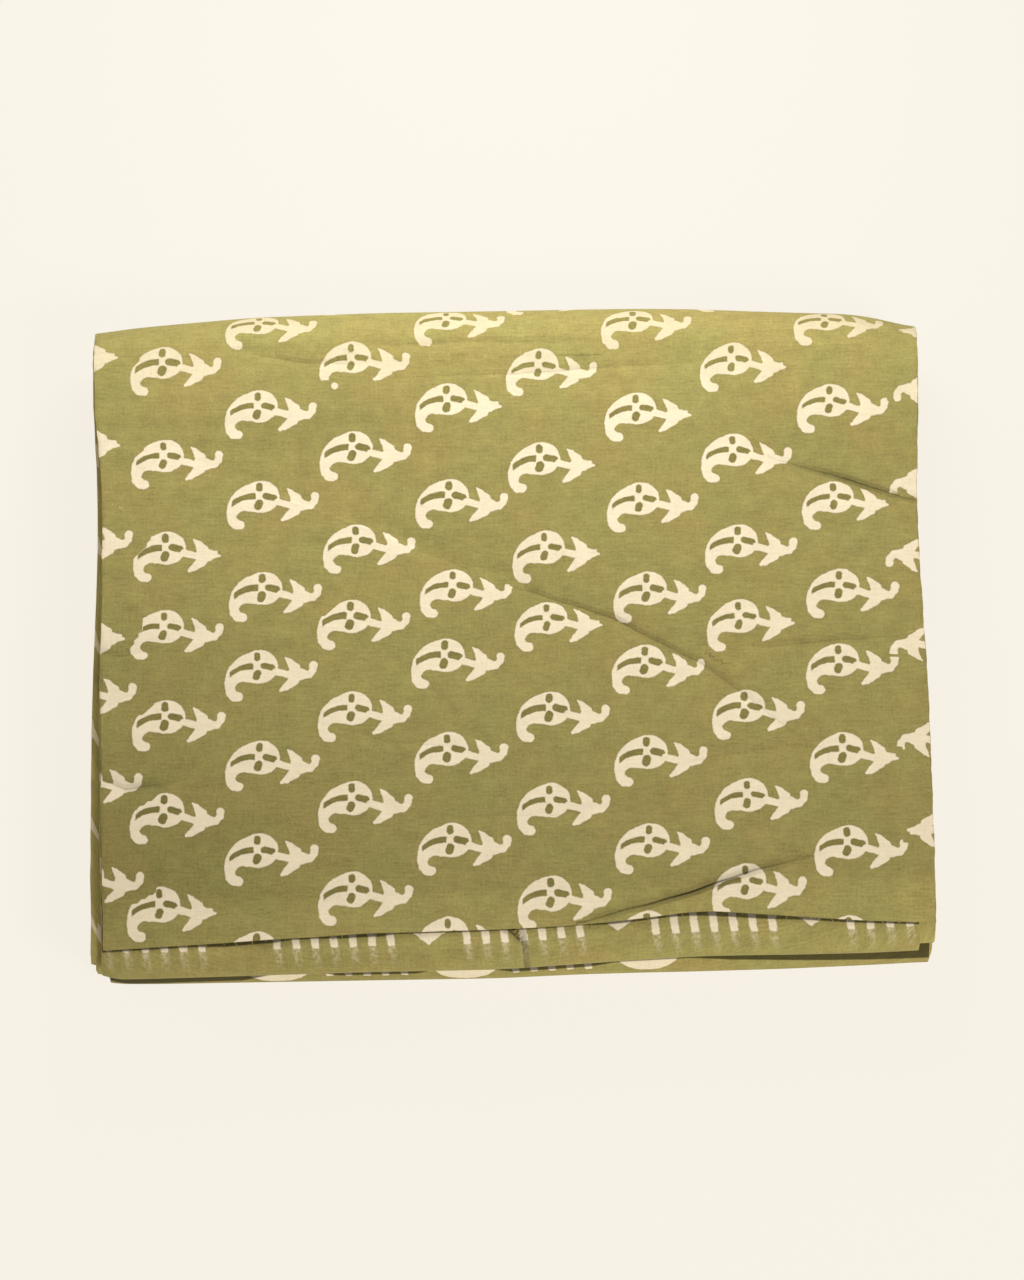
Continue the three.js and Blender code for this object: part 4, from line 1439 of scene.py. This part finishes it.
def make_thread_group(material):
    inputs = {"Edge": "NodeSocketGeometry", "Threads": "NodeSocketInt", "Length": FLOAT_SOCKET}
    inputs.update({"Thickness": FLOAT_SOCKET, "Seed": "NodeSocketInt"})
    outputs = {"Geometry": "NodeSocketGeometry"}
    tree, given, result = new_group("Loose threads", inputs, outputs, "GeometryNodeTree")
    source = given.outputs
    path_curve = add_node(tree, "GeometryNodeMeshToCurve", {"Mesh": source["Edge"]})
    spread = add_node(tree, "GeometryNodeCurveToPoints", {"Curve": path_curve, "Count": source["Threads"]})
    random_vectors = []
    for lowest, highest in (THREAD_SLIPS, THREAD_TURNS):
        values = {0: lowest, 1: highest, "Seed": source["Seed"]}
        node = add_node(tree, "FunctionNodeRandomValue", values, data_type="FLOAT_VECTOR")
        random_vectors.append(node.outputs["Value"])
    slip, turn = random_vectors
    placed = add_node(tree, "GeometryNodeSetPosition", {"Geometry": spread, "Offset": slip})
    line = add_node(tree, "GeometryNodeCurveQuadraticBezier", THREAD_CURVE)
    lowest, highest = THREAD_SIZES
    size = add_node(tree, "FunctionNodeRandomValue", {"Min": lowest, "Max": highest, "Seed": source["Seed"]})
    size = add_node(tree, MATH, [size.outputs[1], source["Length"]], operation="MULTIPLY")
    values = {"Points": placed, "Instance": line, "Rotation": turn, "Scale": size}
    one_on_each = add_node(tree, "GeometryNodeInstanceOnPoints", values)
    real = add_node(tree, "GeometryNodeRealizeInstances", [one_on_each])
    values = {"Resolution": THREAD_SIDES, "Radius": source["Thickness"]}
    profile = add_node(tree, "GeometryNodeCurvePrimitiveCircle", values)
    values = {"Curve": real, "Profile Curve": profile, "Fill Caps": True}
    thread = add_node(tree, "GeometryNodeCurveToMesh", values)
    real = add_node(tree, "GeometryNodeRealizeInstances", [thread])
    dyed = add_node(tree, "GeometryNodeSetMaterial", {"Geometry": real, "Material": material})
    tree.links.new(dyed.outputs[0], result.inputs[0])
    return tree


print("Threads:", THREAD_INPUTS["Threads"], "of up to", THREAD_INPUTS["Length"] / MM, "mm")

# %% [markdown]
# The tree runs as a modifier on a mesh that holds only the flap's edge. Its inputs are set by their
# identifiers before it first runs. The evaluated result becomes a plain mesh, and the path is removed.

# %% The threads as a mesh


def plain_material(name, values):
    """A material of one even finish, from the values of its shader."""
    material = bpy.data.materials.new(name)
    material.use_nodes = True
    for label, value in values.items():
        material.node_tree.nodes["Principled BSDF"].inputs[label].default_value = value
    return material


def make_threads():
    """The threads as a plain mesh, from a modifier on a mesh that holds only the flap's edge."""
    material = plain_material("dyed_cotton_thread", {"Base Color": DYE_GREEN, "Roughness": COTTON_ROUGHNESS})
    inner = slice(STATIONS_LEFT_BARE, -STATIONS_LEFT_BARE)
    edge = (printed[0, inner] * 0.5 + plain[0, inner] * 0.5 + SHIFT + (0, THREAD_SET_BACK, 0)) * MM
    edge_mesh = bpy.data.meshes.new("flap_edge")
    edge_mesh.from_pydata(edge.tolist(), [(i, i + 1) for i in range(len(edge) - 1)], [])
    edge_object = add_object("flap_edge", edge_mesh)
    group = make_thread_group(material)
    modifier = edge_object.modifiers.new("Loose threads", "NODES")
    modifier.node_group = group
    sockets = {item.name: item.identifier for item in group.interface.items_tree if item.in_out == "INPUT"}
    for name, value in THREAD_INPUTS.items():
        modifier[sockets[name]] = value
    edge_object.update_tag()
    bpy.context.view_layer.update()
    evaluated = edge_object.evaluated_get(bpy.context.evaluated_depsgraph_get())
    thread_mesh = bpy.data.meshes.new_from_object(evaluated)
    edge_object.modifiers.clear()
    bpy.data.objects.remove(edge_object)
    return add_object("loose_threads", thread_mesh)


threads = make_threads()
print("The threads have", len(threads.data.polygons), "faces and materials", threads.data.materials[:])

# %% [markdown]
# The floor is a painted board: plain, pale and dead matt. Its paint is dark here and glows faintly instead,
# so that it stays evenly pale far beyond the lamps. The light is one soft source low behind the cloth, with
# a wide fill in front and a weak one at the left. That makes the back fold brightest and shows the creases.

# %% Floor and light
FLOOR_SIZE = 8.0
FLOOR_FINISH = {
    "Base Color": linear_colour("#454545"),
    "Roughness": 1.0,
    "Specular IOR Level": 0.0,
    "Emission Color": linear_colour("#f8f2e6"),
    "Emission Strength": 0.94,
}
WORLD_COLOUR = linear_colour("#f8f2e6")
WORLD_STRENGTH = 0.17
LIT_POINT = (0, 0, 0.04)

# Name, place, size in metres and power in watts
LIGHTS = [
    ("key", (0.0, 0.41, 0.34), 0.3, 2.1),
    ("fill", (1.2, -1.3, 1.5), 0.7, 36),
    ("side", (-1.0, 0.1, 0.35), 0.4, 2.5),
]


def make_floor():
    half = FLOOR_SIZE / 2
    floor_mesh = bpy.data.meshes.new("floor")
    corners = [(-half, -half, 0), (half, -half, 0), (half, half, 0), (-half, half, 0)]
    floor_mesh.from_pydata(corners, [], [(0, 1, 2, 3)])
    floor_mesh.materials.append(plain_material("painted_board", FLOOR_FINISH))
    return add_object("floor", floor_mesh)


def add_light(name, place, size, power):
    light = bpy.data.lights.new(name, "AREA")
    light.size = size
    light.energy = power
    lamp = add_object(name, light)
    lamp.location = place
    direction = Vector(LIT_POINT) - Vector(place)
    lamp.rotation_euler = direction.to_track_quat("-Z", "Y").to_euler()


floor = make_floor()
for name, place, size, power in LIGHTS:
    add_light(name, place, size, power)
world = bpy.data.worlds.new("studio")
bpy.context.scene.world = world
world.use_nodes = True
world.node_tree.nodes["Background"].inputs["Color"].default_value = WORLD_COLOUR
world.node_tree.nodes["Background"].inputs["Strength"].default_value = WORLD_STRENGTH
bpy.context.scene.view_settings.view_transform = "Standard"
print("Lights:", [name for name, *_ in LIGHTS])

# %% [markdown]
# The camera looks down at seventy degrees from in front, far enough away to keep the edges nearly square.

# %% Camera
CAMERA_DISTANCE = 2.4
TARGET_HEIGHT = 0.02
MM_PER_PIXEL = 0.455
FRAME_LONG_SIDE = 1280
SENSOR = 36.0
TARGET = Vector((SHIFT[0] * MM, SHIFT[1] * MM, TARGET_HEIGHT))
camera_data = bpy.data.cameras.new("camera")
camera = add_object("camera", camera_data)
seen_length = FRAME_LONG_SIDE * MM_PER_PIXEL * MM
camera_data.sensor_width = SENSOR
camera_data.lens = SENSOR * CAMERA_DISTANCE / seen_length
backwards = Vector((0, -math.cos(CAMERA_ELEVATION), math.sin(CAMERA_ELEVATION)))
camera.location = TARGET + backwards * CAMERA_DISTANCE
camera.rotation_euler = (-backwards).to_track_quat("-Z", "Y").to_euler()
bpy.context.scene.camera = camera
print("Lens:", round(camera_data.lens, 1), "mm")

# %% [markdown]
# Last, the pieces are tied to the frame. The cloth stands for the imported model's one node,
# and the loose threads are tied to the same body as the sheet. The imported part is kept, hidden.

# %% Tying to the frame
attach(cloth, "root")
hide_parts("folded_cloth")
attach(threads, "root")
